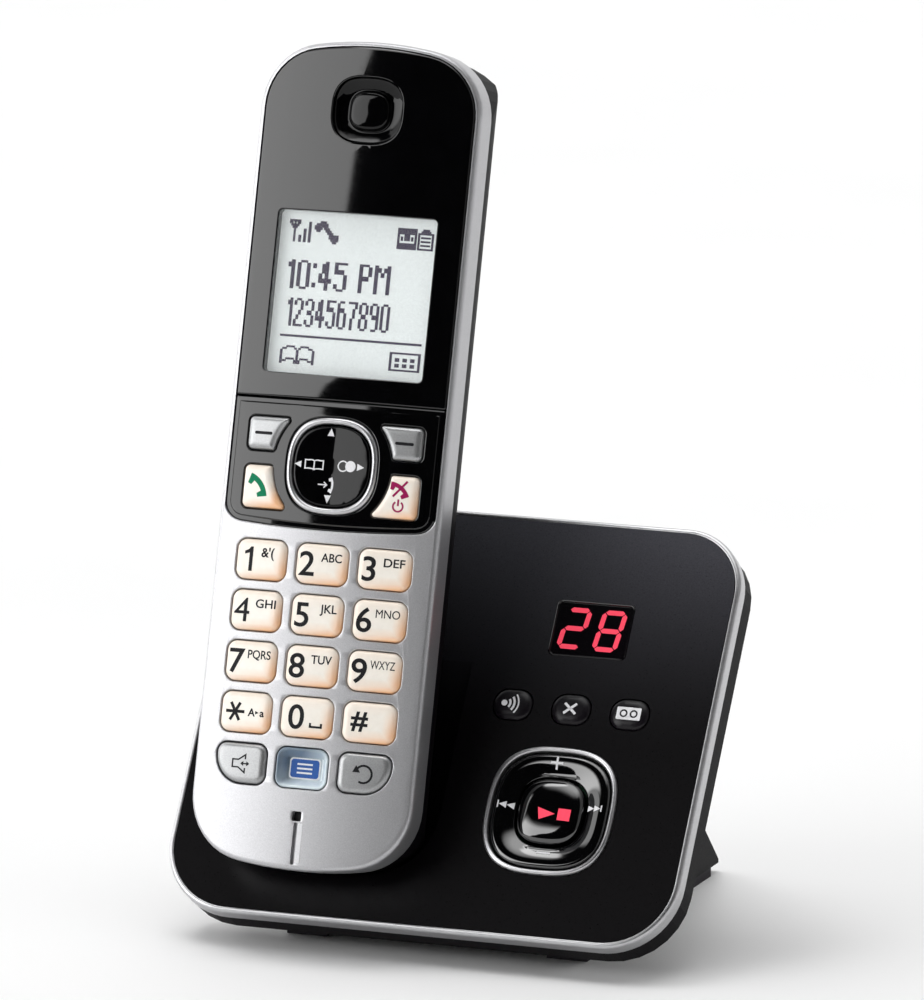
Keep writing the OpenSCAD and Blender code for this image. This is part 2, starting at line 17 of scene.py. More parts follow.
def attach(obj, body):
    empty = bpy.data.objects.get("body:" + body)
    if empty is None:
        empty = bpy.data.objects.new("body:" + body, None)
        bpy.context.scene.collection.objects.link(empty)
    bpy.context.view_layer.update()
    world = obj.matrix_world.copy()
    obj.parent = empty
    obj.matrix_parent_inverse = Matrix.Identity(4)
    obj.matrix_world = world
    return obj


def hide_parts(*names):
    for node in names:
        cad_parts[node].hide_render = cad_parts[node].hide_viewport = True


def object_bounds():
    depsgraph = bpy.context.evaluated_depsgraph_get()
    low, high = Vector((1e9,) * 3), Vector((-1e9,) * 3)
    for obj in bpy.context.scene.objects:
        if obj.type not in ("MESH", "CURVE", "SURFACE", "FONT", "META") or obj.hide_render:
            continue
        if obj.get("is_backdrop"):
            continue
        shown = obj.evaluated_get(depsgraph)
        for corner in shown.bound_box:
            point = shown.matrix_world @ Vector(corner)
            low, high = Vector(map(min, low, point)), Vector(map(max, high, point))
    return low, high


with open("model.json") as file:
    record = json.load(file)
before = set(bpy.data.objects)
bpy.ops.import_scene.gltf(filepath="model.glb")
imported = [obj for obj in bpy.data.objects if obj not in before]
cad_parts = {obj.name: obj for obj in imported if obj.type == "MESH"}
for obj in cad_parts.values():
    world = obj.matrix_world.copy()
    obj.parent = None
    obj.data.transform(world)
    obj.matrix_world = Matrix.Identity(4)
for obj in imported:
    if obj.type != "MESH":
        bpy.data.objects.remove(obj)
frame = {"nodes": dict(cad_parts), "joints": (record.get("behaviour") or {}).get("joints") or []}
cad_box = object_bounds()

MM = 0.001
JOINTS = {joint["name"]: joint for joint in frame["joints"]}

# --------------- sizes, in mm
HAND_W, HAND_L, HAND_R, BOW_R = 46.4, 163.0, 13.0, 75.0
FRONT_DEPTH = 7.8
CROWN_R = 160.0
BORDER = 1.0
SEAM_Y, NAV_FOOT_Y = 92.0, 66.6
SLICE = 1.5

KEY_W, KEY_H, KEY_R, KEY_GAP = 10.8, 7.9, 2.0, 0.18
KEY_DX, KEY_DY, ROW_1_Y = 12.93, 10.0, 60.0
KEY_LIFT = 0.55
SIDE_KEY_LIFT = 0.9
BIG_CORNER = 5.6

NAV_Y, NAV_HALF, NAV_R = 79.3, 9.5, 7.6
NAV_KEY_HALF, NAV_KEY_R = 8.0, 6.5
SIDE_KEY_X, SIDE_KEY_ARC = 18.3, 12.6
SOFT_KEY_Y = (81.5, 88.1)
CALL_KEY_Y = (70.1, 78.5)

SCREEN_W, SCREEN_H, SCREEN_Y, SCREEN_Z = 33.3, 32.0, 113.0, -2.7
EAR_Y, EAR_W, EAR_H, EAR_R = 149.4, 14.6, 13.2, 5.6
MIC_Y, MIC_HALF = 10.6, 0.95

BASE_W, BASE_H, TRIM_W, TRIM_DEPTH = 107.0, 88.0, 1.1, 3.5
BASE_RADII = (13.0, 13.0, 14.5, 14.5)
LED_X, LED_Y, LED_W, LED_H = 24.75, 65.1, 16.3, 11.8
BUTTON_X, BUTTON_DX, BUTTON_Y = 24.0, 12.2, 48.2
BUTTON_W, BUTTON_H, BUTTON_R = 8.0, 6.3, 2.9
LEAST_R = 0.25
RECEIVER_TURN = 40
DOT_SPREAD = 0.07
PANEL_GAP, SEAM_GAP = 0.12, 0.05
NAV_FOOT_R, NAV_FOOT_BOW = 4, 220
PANEL_LIFT, PANEL_DEPTH = 0.12, 2.5
RING_GAP, RING_GAP_R = 0.25, 0.2
BUTTON_INK_Z = 0.79
WELD, CUT_REACH, LEAST_TURN = 1e-4, 1e-5, 0.3

# Angles: in radians, what counts as flat; in degrees, from where an edge is shaded sharp.
FLAT_ANGLE = 0.002
PIECE_SHARP, DOME_SHARP, PANEL_SHARP = 38, 60, 14

RING_X, RING_Y, RING_HALF, RING_R = 24.0, 26.9, 13.3, 9.8
RING_KEY_HALF, RING_KEY_R = 12.0, 8.7
PLAY_HALF, PLAY_R = 6.8, 5.2

# The view: azimuth and elevation in degrees, the point looked at and its distance in metres.
VIEW_ANGLES, VIEW_TARGET, VIEW_DISTANCE = (21.04, 12.29), Vector((0.0113, -0.0431, 0.09397)), 2.12409
LENS_MM, SENSOR_MM = 396, 36


# --------------- places
def joint_axis(name):
    return Vector(JOINTS[name]["axis"]).normalized()


def place_of(pivot_joint, up, out, pivot):
    """The matrix of a place, in which a joint's pivot has the coordinates given, in mm."""
    turn = Matrix((up.cross(out), up, out)).transposed().to_4x4() @ Matrix.Scale(MM, 4)
    origin = Vector(JOINTS[pivot_joint]["pos_m"]) - turn @ Vector(pivot)
    return Matrix.Translation(origin) @ turn


HAND = place_of("nav_tilt_up_down", joint_axis("handset_lift"),
                -joint_axis("key_5_press"), (0, NAV_Y, -1.5))
FACE = place_of("base_ring_tilt_up_down", joint_axis("base_ring_tilt_left_right"),
                -joint_axis("play_stop_button_press"), (RING_X, RING_Y, -1.0))


def link(piece):
    bpy.context.scene.collection.objects.link(piece)


# --------------- outlines
def arc(cx, cy, r, start, end, n=8):
    """Points along an arc, its angles in degrees."""
    angles = [radians(start + (end - start) * i / n) for i in range(n + 1)]
    return [(cx + r * cos(a), cy + r * sin(a)) for a in angles]


def rounded(w, h, radii, cx=0.0, cy=0.0, n=10):
    """A rounded rectangle with one radius, or those of upper right, upper left and lower left, right."""
    ur, ul, ll, lr = radii if isinstance(radii, (list, tuple)) else [radii] * 4
    x, y = w / 2, h / 2
    points = (arc(x - ur, y - ur, ur, 0, 90, n) + arc(ul - x, y - ul, ul, 90, 180, n)
              + arc(ll - x, ll - y, ll, 180, 270, n) + arc(x - lr, lr - y, lr, 270, 360, n))
    return [(px + cx, py + cy) for px, py in points]


def shrinking(w, h, radii, cx=0.0, cy=0.0, n=10):
    """A rounded rectangle, as a function of how far its edge is drawn in."""
    def shape(o=0.0):
        wide, high = w - 2 * o, h - 2 * o
        small = [max(r - o, LEAST_R) for r in radii]
        most = min(wide, high) - min(small)
        return rounded(wide, high, [min(r, most) for r in small], cx, cy, n)
    return shape


def squareness(half, r):
    """The power of the superellipse through the corners of a square rounded by r."""
    return -log(2) / log((half - r + r * sqrt(0.5)) / half)


def squircle(half, r, cx=0.0, cy=0.0, stretch=1.0, n=72):
    """A superellipse, as a function of how far its edge is drawn in."""
    power = squareness(half, r)

    def shape(o=0.0):
        points = []
        for i in range(n):
            c, d = cos(tau * i / n), sin(tau * i / n)
            size = (abs(c) ** power + abs(d) ** power) ** (-1 / power)
            points.append((cx + (half - o) * size * c, cy + (half * stretch - o) * size * d))
        return points
    return shape


def share_out(x, y, half, r):
    """How far out a point lies in a squircle: 0 at its centre, 1 on its edge."""
    power = squareness(half, r)
    return ((abs(x) / half) ** power + (abs(y) / half) ** power) ** (1 / power)


def height_at(profile, share):
    """The height at a share of the way out, along a profile of (share, height)."""
    for (s0, z0), (s1, z1) in zip(profile, profile[1:]):
        if share <= s1:
            return z0 + (z1 - z0) * max(0.0, share - s0) / (s1 - s0)
    return profile[-1][1]


def bowed_top(w, y, r, bow, n=10):
    """Two corners of radius r joined by one shallow arc of radius bow."""
    k = sqrt((bow - r) ** 2 - (w - r) ** 2)
    b = degrees(atan2(w - r, k))
    return (arc(w - r, y - bow + k, r, 0, 90 - b, n)
            + arc(0, y - bow, bow, 90 - b, 90 + b, 16)[1:-1]
            + arc(r - w, y - bow + k, r, 90 + b, 180, n))


def bowed_foot(w, y, r, bow, n=10):
    return [(-px, y - py) for px, py in bowed_top(w, 0, r, bow, n)]


def hand_top(o):
    return bowed_top(HAND_W / 2 - o, HAND_L - o, HAND_R - o, BOW_R - o)


def hand_outline(o=0.0):
    return hand_top(o) + bowed_foot(HAND_W / 2 - o, o, HAND_R - o, BOW_R - o)


def panel_foot(o, d):
    return bowed_foot(HAND_W / 2 - o, NAV_FOOT_Y + d, NAV_FOOT_R - d, NAV_FOOT_BOW - d, 6)


def panels_outline(d=0.0):
    return hand_top(BORDER + d) + panel_foot(BORDER + d, d)


def display_outline(d=0.0):
    o, r, y = BORDER + PANEL_GAP + d, max(0.5 - d, 0.1), SEAM_Y + SEAM_GAP + d
    w = HAND_W / 2 - o
    return hand_top(o) + arc(r - w, y + r, r, 180, 270, 4) + arc(w - r, y + r, r, 270, 360, 4)


def nav_outline(d=0.0):
    o, r, y = BORDER + PANEL_GAP + d, max(0.5 - d, 0.1), SEAM_Y - SEAM_GAP - d
    w = HAND_W / 2 - o
    return arc(w - r, y - r, r, 0, 90, 4) + arc(r - w, y - r, r, 90, 180, 4) + panel_foot(o, d)


def side_key_shape(side, span):
    """A key beside the navigation ring, its inner edge an arc around the ring."""
    def tip_at(y, reach):
        return -sqrt(reach ** 2 - (y - NAV_Y) ** 2), y

    def inwards(tip):
        return degrees(atan2(NAV_Y - tip[1], -tip[0]))

    def shape(o=0.0):
        low, high, x = span[0] + o, span[1] - o, o - SIDE_KEY_X
        ring, tip, corner = SIDE_KEY_ARC + o, max(0.5 - o, 0.15), max(1.1 - o, 0.2)
        lower, upper = tip_at(low + tip, ring + tip), tip_at(high - tip, ring + tip)
        points = (arc(x + corner, high - corner, corner, 90, 180, 5)
                  + arc(x + corner, low + corner, corner, 180, 270, 5)
                  + arc(*lower, tip, -90, inwards(lower), 5)
                  + arc(0, NAV_Y, ring, 180 + inwards(lower), 180 + inwards(upper), 10)[1:-1]
                  + arc(*upper, tip, inwards(upper), 90, 5))
        return points if side < 0 else [(-px, py) for px, py in points][::-1]
    return shape


def counter_clockwise(points):
    area = sum(points[i - 1][0] * p[1] - p[0] * points[i - 1][1] for i, p in enumerate(points))
    return points if area > 0 else points[::-1]


def corner_shift(e, f, d):
    """How a corner between the directions e and f moves when its two sides move left by d."""
    m, n = Vector((-e.y, e.x)), Vector((-f.y, f.x))
    return (m + n) * d / max(LEAST_TURN, 1 + m.dot(n))


def moved(points, dx, dy):
    return [(x + dx, y + dy) for x, y in points]


def inset(points, d):
    """The closed outline drawn in by d, or out where d is negative."""
    out = []
    for i, p in enumerate(points):
        e = (Vector(p) - Vector(points[i - 1])).normalized()
        f = (Vector(points[(i + 1) % len(points)]) - Vector(p)).normalized()
        out.append(tuple(Vector(p) + corner_shift(e, f, d)))
    return out


def cleaned(points):
    """The outline without repeated points."""
    out = [p for i, p in enumerate(points) if (Vector(p) - Vector(points[i - 1])).length > WELD]
    return counter_clockwise(out)


def scaled(points, s, cx, cy):
    return [(cx + (x - cx) * s, cy + (y - cy) * s) for x, y in points]


# --------------- meshes
def quarter(b, top=0.0, n=4):
    """The profile of a rounded edge of radius b: (inset, z), from the top outwards."""
    angles = [radians(90 * i / n) for i in range(n + 1)]
    return [(b * (1 - sin(a)), top - b * (1 - cos(a))) for a in angles]


def drawn_in(shape, d):
    """A shape's outline drawn in by d: the shape is a function of d, or a list of points."""
    return shape(d) if callable(shape) else inset(cleaned(shape), d)


def edge_rings(shape, profile):
    """The rings of an edge whose profile is (inset, z), from the top downwards."""
    return [[(x, y, z) for x, y in drawn_in(shape, d)] for d, z in profile]


def hole_rings(shape, profile, gap=0.0):
    """The rings of a hole that is wider than the shape by the gap."""
    return edge_rings(shape, [(-d - gap, z) for d, z in profile])


def dome_rings(shape, centre, profile):
    """The rings of a dome whose profile is (share of the way out, z)."""
    return [[(x, y, z) for x, y in scaled(drawn_in(shape, 0), s, *centre)] for s, z in profile]


def add_rings(mesh, loops):
    """Adds a closed solid: the outer loop's rings from top to bottom, then each hole's."""
    made = [[[mesh.verts.new(p) for p in ring] for ring in rings] for rings in loops]
    for rings in made:
        for above, below in zip(rings, rings[1:]):
            for i in range(len(above)):
                mesh.faces.new((above[i - 1], below[i - 1], below[i], above[i]))
    for end in (0, -1):
        corners = [v for rings in made for v in rings[end]]
        outlines = [[v.co.copy() for v in rings[end]] for rings in made]
        for triple in tessellate_polygon(outlines):
            mesh.faces.new([corners[i] for i in triple])


def sliced(mesh, step):
    """Cuts the mesh across at every step, so that it can bend with the crown."""
    low = min(v.co.x for v in mesh.verts)
    high = max(v.co.x for v in mesh.verts)
    for k in range(math.ceil(low / step), math.floor(high / step) + 1):
        geometry = mesh.verts[:] + mesh.edges[:] + mesh.faces[:]
        bmesh.ops.bisect_plane(mesh, geom=geometry, dist=CUT_REACH, plane_co=(k * step, 0, 0),
                               plane_no=(1, 0, 0))


def crown(x):
    return sqrt(CROWN_R ** 2 - x ** 2) - CROWN_R


def bend_all(co):
    return co.z + crown(co.x)


def bend_front(co):
    """Bends the front of a deep shell and leaves its lower edge straight."""
    share = min(1.0, max(0.0, (co.z + FRONT_DEPTH) / (FRONT_DEPTH - 2)))
    return co.z + crown(co.x) * share


ON_FACE = ("base", "base_ring_key", "play_stop_button", "locator_button", "erase_button",
           "answer_button")


def finish_piece(name, mesh, finish, body, bend=None, replaces=(), glow=None, sharp=PIECE_SHARP,
                 merged=False):
    """Bends the mesh, puts it in its place and gives it its material and its body.

    On the handset a piece bends with the crown, unless bend is another function or False.
    A piece named after a CAD node replaces that node.
    """
    place = FACE if body in ON_FACE else HAND
    if bend is None and place is HAND:
        bend = bend_all
    if bend:
        if merged:
            bmesh.ops.dissolve_limit(mesh, angle_limit=FLAT_ANGLE, verts=mesh.verts, edges=mesh.edges)
        sliced(mesh, SLICE)
    if glow:
        layer = mesh.verts.layers.float.new("glow")
        for v in mesh.verts:
            v[layer] = glow(v.co)
    for v in mesh.verts:
        if bend:
            v.co.z = bend(v.co)
        v.co = place @ v.co
    bmesh.ops.recalc_face_normals(mesh, faces=mesh.faces)
    for face in mesh.faces:
        face.smooth = True
    data = bpy.data.meshes.new(name)
    mesh.to_mesh(data)
    mesh.free()
    data.set_sharp_from_angle(angle=radians(sharp))
    data.materials.append(finish.material)
    piece = bpy.data.objects.new(name, data)
    link(piece)
    weighted = piece.modifiers.new("face_weights", "WEIGHTED_NORMAL")
    weighted.keep_sharp = True
    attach(piece, body)
    if not replaces and name in frame["nodes"]:
        replaces = [name]
    if replaces:
        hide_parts(*replaces)
    return piece


def solid(name, loops, finish, body="handset", **rest):
    """A closed piece: the outer loop's rings, then those of its holes."""
    mesh = bmesh.new()
    add_rings(mesh, loops)
    bmesh.ops.remove_doubles(mesh, verts=mesh.verts, dist=WELD)
    return finish_piece(name, mesh, finish, body, **rest)


# --------------- prints
def prism(mesh, outline, holes, z0, z1):
    """A thin flat shape, such as one stroke of an icon."""
    loops = [edge_rings(outline, [(0, z1), (0, z0)])]
    loops += [hole_rings(hole, [(0, z1), (0, z0)]) for hole in holes]
    add_rings(mesh, loops)


def stroke(points, width, closed=False):
    """(outline, holes) of a line of the given width along the points."""
    if closed:
        points = cleaned(points)
        return inset(points, -width / 2), [inset(points, width / 2)]
    left, right = [], []
    for i, p in enumerate(points):
        p = Vector(p)
        e = (p - Vector(points[i - 1])).normalized() if i else None
        f = (Vector(points[i + 1]) - p).normalized() if i + 1 < len(points) else e
        e = e or f
        side = corner_shift(e, f, width / 2)
        left.append(tuple(p + side))
        right.append(tuple(p - side))
    return right + left[::-1], []


def rectangle(x0, y0, x1, y1):
    return [(x0, y0), (x1, y0), (x1, y1), (x0, y1)], []


def disc(cx, cy, r, n=20):
    return arc(cx, cy, r, 0, 360 - 360 / n, n - 1), []


def turned(shapes, angle, dx, dy, size=1.0):
    """Shapes turned by an angle in degrees about the origin, sized and moved."""
    c, s = cos(radians(angle)) * size, sin(radians(angle)) * size

    def go(points):
        return [(c * x - s * y + dx, s * x + c * y + dy) for x, y in points]
    return [(go(outline), [go(hole) for hole in holes]) for outline, holes in shapes]


def receiver(length, thick, turn=RECEIVER_TURN):
    """A telephone receiver lying level, its two ends hanging down."""
    r = length / 2 / sin(radians(turn))
    low, high, block = 90 - turn, 90 + turn, turn * 0.42
    deep, middle = r - 1.95 * thick, r * (1 + cos(radians(turn))) / 2
    points = (arc(0, 0, r, low, high, 14) + arc(0, 0, deep, high, high - block, 3)
              + arc(0, 0, r - thick, high - block - 2, low + block + 2, 10)
              + arc(0, 0, deep, low + block, low, 3))
    return [([(x, y - middle) for x, y in points], [])]


def print_on(name, shapes, finish, body, z, texts=(), at=(0, 0), bend=None, thick=0.04):
    """Ink on a surface, a hair proud of height z: flat shapes and texts, about the point at."""
    mesh = bmesh.new()
    for outline, holes in shapes:
        holes = [moved(hole, *at) for hole in holes]
        prism(mesh, moved(outline, *at), holes, z - thick / 2, z + thick)
    for words, height, x, y, *rest in texts:
        add_text(mesh, z, thick, words, height, x + at[0], y + at[1], *rest)
    return finish_piece(name, mesh, finish, body, bend=bend)


def text_mesh(words, weight):
    curve = bpy.data.curves.new("words", "FONT")
    curve.body = words
    curve.align_x = "CENTER"
    curve.offset = weight
    curve.extrude = 0.5
    curve.resolution_u = 5
    holder = bpy.data.objects.new("words", curve)
    link(holder)
    bpy.context.view_layer.update()
    evaluated = holder.evaluated_get(bpy.context.evaluated_depsgraph_get())
    data = bpy.data.meshes.new_from_object(evaluated)
    bpy.data.objects.remove(holder)
    bpy.data.curves.remove(curve)
    return data


def cap_height():
    data = text_mesh("H", 0.0)
    height = max(v.co.y for v in data.vertices)
    bpy.data.meshes.remove(data)
    return height


CAP = cap_height()


def add_text(mesh, z, thick, words, height, x, y, stretch=1.0, weight=0.012, width=None):
    """Adds words whose capitals have the height given, centred on x; a width ends them at x."""
    data = text_mesh(words, weight)
    size = height / CAP
    data.transform(Matrix.Diagonal((size * stretch, size, thick * 1.5, 1)))
    last, first = max(v.co.x for v in data.vertices), min(v.co.x for v in data.vertices)
    anchor = (last + first) / 2
    if width:
        data.transform(Matrix.Diagonal((width / (last - first), 1, 1, 1)))
        anchor = last * width / (last - first)
    data.transform(Matrix.Translation((x - anchor, y - height / 2, z + thick * 0.25)))
    letters = bmesh.new()
    letters.from_mesh(data)
    bmesh.ops.remove_doubles(letters, verts=letters.verts, dist=WELD)
    letters.to_mesh(data)
    letters.free()
    mesh.from_mesh(data)
    bpy.data.meshes.remove(data)


def dots(sign, x, y, dx, dy):
    """Shapes of a dot-matrix sign; each run of # in a row is one bar, x and y its top left."""
    shapes = []
    for r, row in enumerate(sign.split("/")):
        c = 0
        while c < len(row):
            if row[c] != "#":
                c += 1
                continue
            run = len(row[c:]) - len(row[c:].lstrip("#"))
            left, right = x + c * dx - DOT_SPREAD, x + (c + run) * dx + DOT_SPREAD
            shapes.append(rectangle(left, y - (r + 1) * dy, right, y - r * dy))
            c += run
    return shapes


# --------------- materials
class Graph:
    """A node tree, with short ways to add the nodes that are used here."""

    def __init__(self, owner):
        owner.use_nodes = True
        self.nodes = owner.node_tree.nodes
        self.links = owner.node_tree.links

    def feed(self, socket, value):
        """Gives an input its source, or its constant."""
        if isinstance(value, bpy.types.NodeSocket):
            self.links.new(value, socket)
        else:
            socket.default_value = value

    def feed_all(self, node, values):
        for name, value in values.items():
            self.feed(node.inputs[name.replace("_", " ")], value)

    def add(self, kind, **values):
        node = self.nodes.new("ShaderNode" + kind)
        self.feed_all(node, values)
        return node

    def math(self, operation, *values):
        node = self.add("Math")
        node.operation = operation
        for socket, value in zip(node.inputs, values):
            self.feed(socket, value)
        return node.outputs[0]

    def ramp(self, source, low, high, start=0.3, end=0.7, kind="LINEAR"):
        """A number that runs from low to high as source runs from start to end."""
        node = self.add("MapRange", Value=source, From_Min=start, From_Max=end, To_Min=low, To_Max=high)
        node.interpolation_type = kind
        return node.outputs["Result"]


class Finish(Graph):
    """A procedural material and the record's slot that it stands for."""

    def __init__(self, slot, name, **values):
        self.slot = slot
        self.material = bpy.data.materials.new(name)
        super().__init__(self.material)
        places = self.add("TexCoord")
        self.where = places.outputs["Object"]
        self.height = self.add("SeparateXYZ", Vector=places.outputs["Generated"]).outputs["Z"]
        self.set(**values)

    def set(self, **values):
        """Sets inputs of the shader."""
        self.feed_all(self.nodes["Principled BSDF"], values)
        return self

    def noise(self, scale, detail=3.0, stretch=(1, 1, 1)):
        """Noise of a given scale in metres to the power -1."""
        spot = self.add("Mapping", Vector=self.where, Scale=stretch).outputs["Vector"]
        return self.add("TexNoise", Vector=spot, Scale=scale, Detail=detail).outputs["Fac"]

    def painted(self, name):
        """The value that the vertices carry under a name."""
        node = self.add("Attribute")
        node.attribute_name = name
        return node.outputs["Fac"]

    def blend(self, factor, first, second):
        node = self.add("Mix")
        node.data_type = "RGBA"
        self.links.new(factor, node.inputs["Factor"])
        for socket, value in zip([s for s in node.inputs if s.type == "RGBA"], (first, second)):
            self.feed(socket, (*value, 1) if isinstance(value, tuple) else value)
        return [s for s in node.outputs if s.type == "RGBA"][0]

    def bump(self, source, depth):
        node = self.add("Bump", Height=source, Distance=depth * MM, Strength=1.0)
        return self.set(Normal=node.outputs["Normal"])


def grained(slot, name, grain, dark, pale, rough, depth=0.0, wear=None, **values):
    """A finish mottled between two colours; grain and wear are (scale, detail, stretch) of noises."""
    f = Finish(slot, name, **values)
    texture = f.noise(*grain)
    f.set(Base_Color=f.blend(f.ramp(texture, 0, 1), dark, pale),
          Roughness=f.ramp(f.noise(*wear) if wear else texture, *rough))
    return f.bump(texture, depth) if depth else f


def moulded_black(slot, name, tone, rough, grain, depth, shine=0.4, painted_foot_shade=1.0):
    """Moulded black plastic with a spark-eroded grain and a painted shade: its tone falls towards the foot,
    to the tone times the last argument there.
    """
    f = Finish(slot, name, Specular_IOR_Level=shine)
    texture = f.noise(grain, 4)
    top = f.blend(f.ramp(texture, 0, 1), (tone * 0.85, tone * 0.85, tone),
                  (tone * 1.15, tone * 1.15, tone * 1.35))
    low = tone * painted_foot_shade
    # painted shade: the colour falls from the grained tone at the top to the darker tone at the foot, below
    # 45% of the piece's height
    painted_shade_rise = f.math("POWER", f.ramp(f.height, 0, 1, 0.45, 1.0), 2.0)
    f.set(Base_Color=f.blend(painted_shade_rise, (low * 0.9, low * 0.7, low), top),
          Roughness=f.ramp(texture, rough - 0.03, rough + 0.04))
    return f.bump(texture, depth)


def backlit_key():
    """Creamy key rubber under clear lacquer, its edges warmed by the light below."""
    f = Finish("number_keys", "backlit_key", Coat_Weight=0.5, Coat_Roughness=0.12)
    mottle = f.noise(700)
    cream = f.blend(f.ramp(mottle, 0, 1), (0.86, 0.81, 0.73), (0.90, 0.85, 0.77))
    # painted light: the glow attribute turns the key's colour towards amber at its right and lower edges
    warm = f.blend(f.ramp(f.painted("glow"), 0, 1, 0.0, 1.0), cream, (0.88, 0.50, 0.27))
    f.set(Base_Color=warm, Emission_Color=warm, Emission_Strength=0.12,
          Roughness=f.ramp(mottle, 0.30, 0.40))
    return f.bump(f.noise(4000, 2), 0.003)


def clear_blue():
    """Clear pale blue plastic, lit through, with a painted shade on its left and upper walls."""
    f = Finish("blue_key", "clear_blue", IOR=1.46, Coat_Weight=0.6, Coat_Roughness=0.06)
    cloud = f.noise(500)
    pale = f.blend(f.ramp(cloud, 0, 1), (0.62, 0.72, 0.78), (0.74, 0.83, 0.87))
    # painted shade: where the glow attribute is low the colour turns dark blue-grey
    f.set(Base_Color=f.blend(f.ramp(f.painted("glow"), 0, 1, 0.1, 0.8), (0.16, 0.22, 0.29), pale),
          Roughness=f.ramp(cloud, 0.10, 0.20))
    return f.bump(cloud, 0.004)


def lit(slot, name, colour, strength, grain=2400):
    """A printed or glowing area with a faint unevenness."""
    f = Finish(slot, name, Emission_Strength=strength, Specular_IOR_Level=0.15)
    texture = f.noise(grain, 2)
    shade = f.blend(f.ramp(texture, 0, 1), tuple(c * 0.9 for c in colour), colour)
    return f.set(Base_Color=shade, Emission_Color=shade, Roughness=f.ramp(texture, 0.4, 0.55))


def plated(slot, name, low, high):
    """Plated metal with a fine drawn grain."""
    return grained(slot, name, (1400, 4, (1, 1, 6)), low, high, (0.2, 0.32), 0.002, Metallic=1.0)


def bright_trim(name):
    """Bright trim with the faint lines that polishing leaves."""
    return grained("chrome_trim", name, (700, 3, (1, 1, 5)), (0.50, 0.50, 0.515), (0.56, 0.56, 0.57),
                   (0.29, 0.34), 0.0003, Metallic=0.9)


def gloss_black(name, ior, shine):
    """Deep gloss black with the hairline scratches of use."""
    return grained("gloss_black", name, (260, 5), (0.0008, 0.0008, 0.001), (0.0016, 0.0016, 0.002),
                   (0.03, 0.06), 0.0004, (1500, 2, (1, 6, 0.6)), IOR=ior, Specular_IOR_Level=shine)


def circuit_board():
    """Green solder mask over faint copper tracks."""
    f = Finish("board", "solder_mask")
    cells = f.add("TexBrick", Vector=f.where, Scale=260, Mortar_Size=0.03).outputs["Fac"]
    f.set(Base_Color=f.blend(cells, (0.01, 0.13, 0.05), (0.03, 0.22, 0.09)),
          Roughness=f.ramp(f.noise(900), 0.28, 0.42))
    return f.bump(cells, 0.02)


SILVER = grained("silver_case", "silver_paint", (5200, 2), (0.44, 0.44, 0.455), (0.54, 0.54, 0.555),
                 (0.33, 0.40), 0.003, (1800,), Metallic=0.75, Coat_Weight=0.2, Coat_Roughness=0.25)
TRIM = bright_trim("satin_trim")
RING_METAL = bright_trim("ring_trim")
GLOSS = gloss_black("piano_black", 1.52, 0.55)
NAV_GLOSS = gloss_black("key_black", 1.5, 0.27)
KNOB_GLOSS = gloss_black("knob_black", 1.6, 1.0)
# The last number given to moulded_black is a painted shade, the tone at the foot as a share of the tone at
# the top: the black case pieces (0.07) and the base's face (0.03) are painted much darker towards their
# feet.
CASE_BLACK = moulded_black("black_case", "grained_black", 0.004, 0.5, 2600, 0.012, 0.07)
FACE_BLACK = moulded_black("base_plastic", "satin_black", 0.065, 0.3, 3600, 0.0006, 0.18, 0.03)
BUTTON_BLACK = moulded_black("base_plastic", "button_black", 0.008, 0.3, 3600, 0.0006, 0.25)
RUBBER = moulded_black("rubber", "foot_rubber", 0.02, 0.78, 1800, 0.03)
INNER_BLACK = moulded_black("black_case", "inner_black", 0.01, 0.6, 2000, 0.02)
KEY_CREAM = backlit_key()
KEY_SILVER = grained("function_keys", "silver_key", (4200,), (0.34, 0.345, 0.35), (0.43, 0.435, 0.44),
                     (0.34, 0.44), 0.004, Metallic=0.8, Coat_Weight=0.2, Coat_Roughness=0.2)
BLUE_PLASTIC = clear_blue()
LENS = grained("screen_glass", "screen_lens", (900,), (0.85, 0.88, 0.9), (0.95, 0.97, 0.98),
               (0.02, 0.05), Alpha=0.05, IOR=1.49)
SCREEN = lit("screen_module", "lit_screen", (0.74, 0.785, 0.78), 0.3)
GOLD = plated("gold_contact", "gold_plate", (0.70, 0.50, 0.20), (0.86, 0.68, 0.34))
STEEL = plated("steel", "zinc_plate", (0.50, 0.50, 0.52), (0.66, 0.66, 0.68))
BOARD = circuit_board()
SLEEVE = lit("cell_sleeve", "cell_sleeve", (0.08, 0.26, 0.50), 0.0, 700)
WINDOW = moulded_black("led_window", "tinted_window", 0.004, 0.07, 900, 0.0005)
LED_RED = lit("led_window", "led_red", (0.80, 0.06, 0.105), 0.62)
INK_BLACK = lit("number_keys", "ink_black", (0.012, 0.012, 0.014), 0.0)
INK_GREEN = lit("number_keys", "ink_green", (0.0, 0.23, 0.10), 0.0)
INK_RED = lit("number_keys", "ink_red", (0.36, 0.01, 0.10), 0.0)
# White print with a faint painted glow from its emission.
INK_WHITE = lit("gloss_black", "ink_white", (0.80, 0.80, 0.82), 0.1)
INK_SCREEN = lit("screen_module", "screen_dots", (0.022, 0.008, 0.050), 0.0)
# A painted highlight: the lit wall of the microphone groove, as pale faintly glowing silver.
GROOVE_HIGHLIGHT_PAINT = lit("silver_case", "painted_groove_highlight", (0.80, 0.80, 0.82), 0.08)
LABEL_BLUE = lit("blue_key", "label_blue", (0.045, 0.13, 0.43), 0.05)
LABEL_WHITE = lit("blue_key", "label_white", (0.86, 0.88, 0.90), 0.08)


# --------------- handset: front case
def key_centre(col, row):
    return (col - 1) * KEY_DX, ROW_1_Y - row * KEY_DY


def key_shape(col, row):
    """A key of the keypad; the outer two of the lowest row have one large corner."""
    radii = [KEY_R] * 4
    if row == 4 and col != 1:
        radii[2 + col // 2] = BIG_CORNER
    return shrinking(KEY_W, KEY_H, radii, *key_centre(col, row))


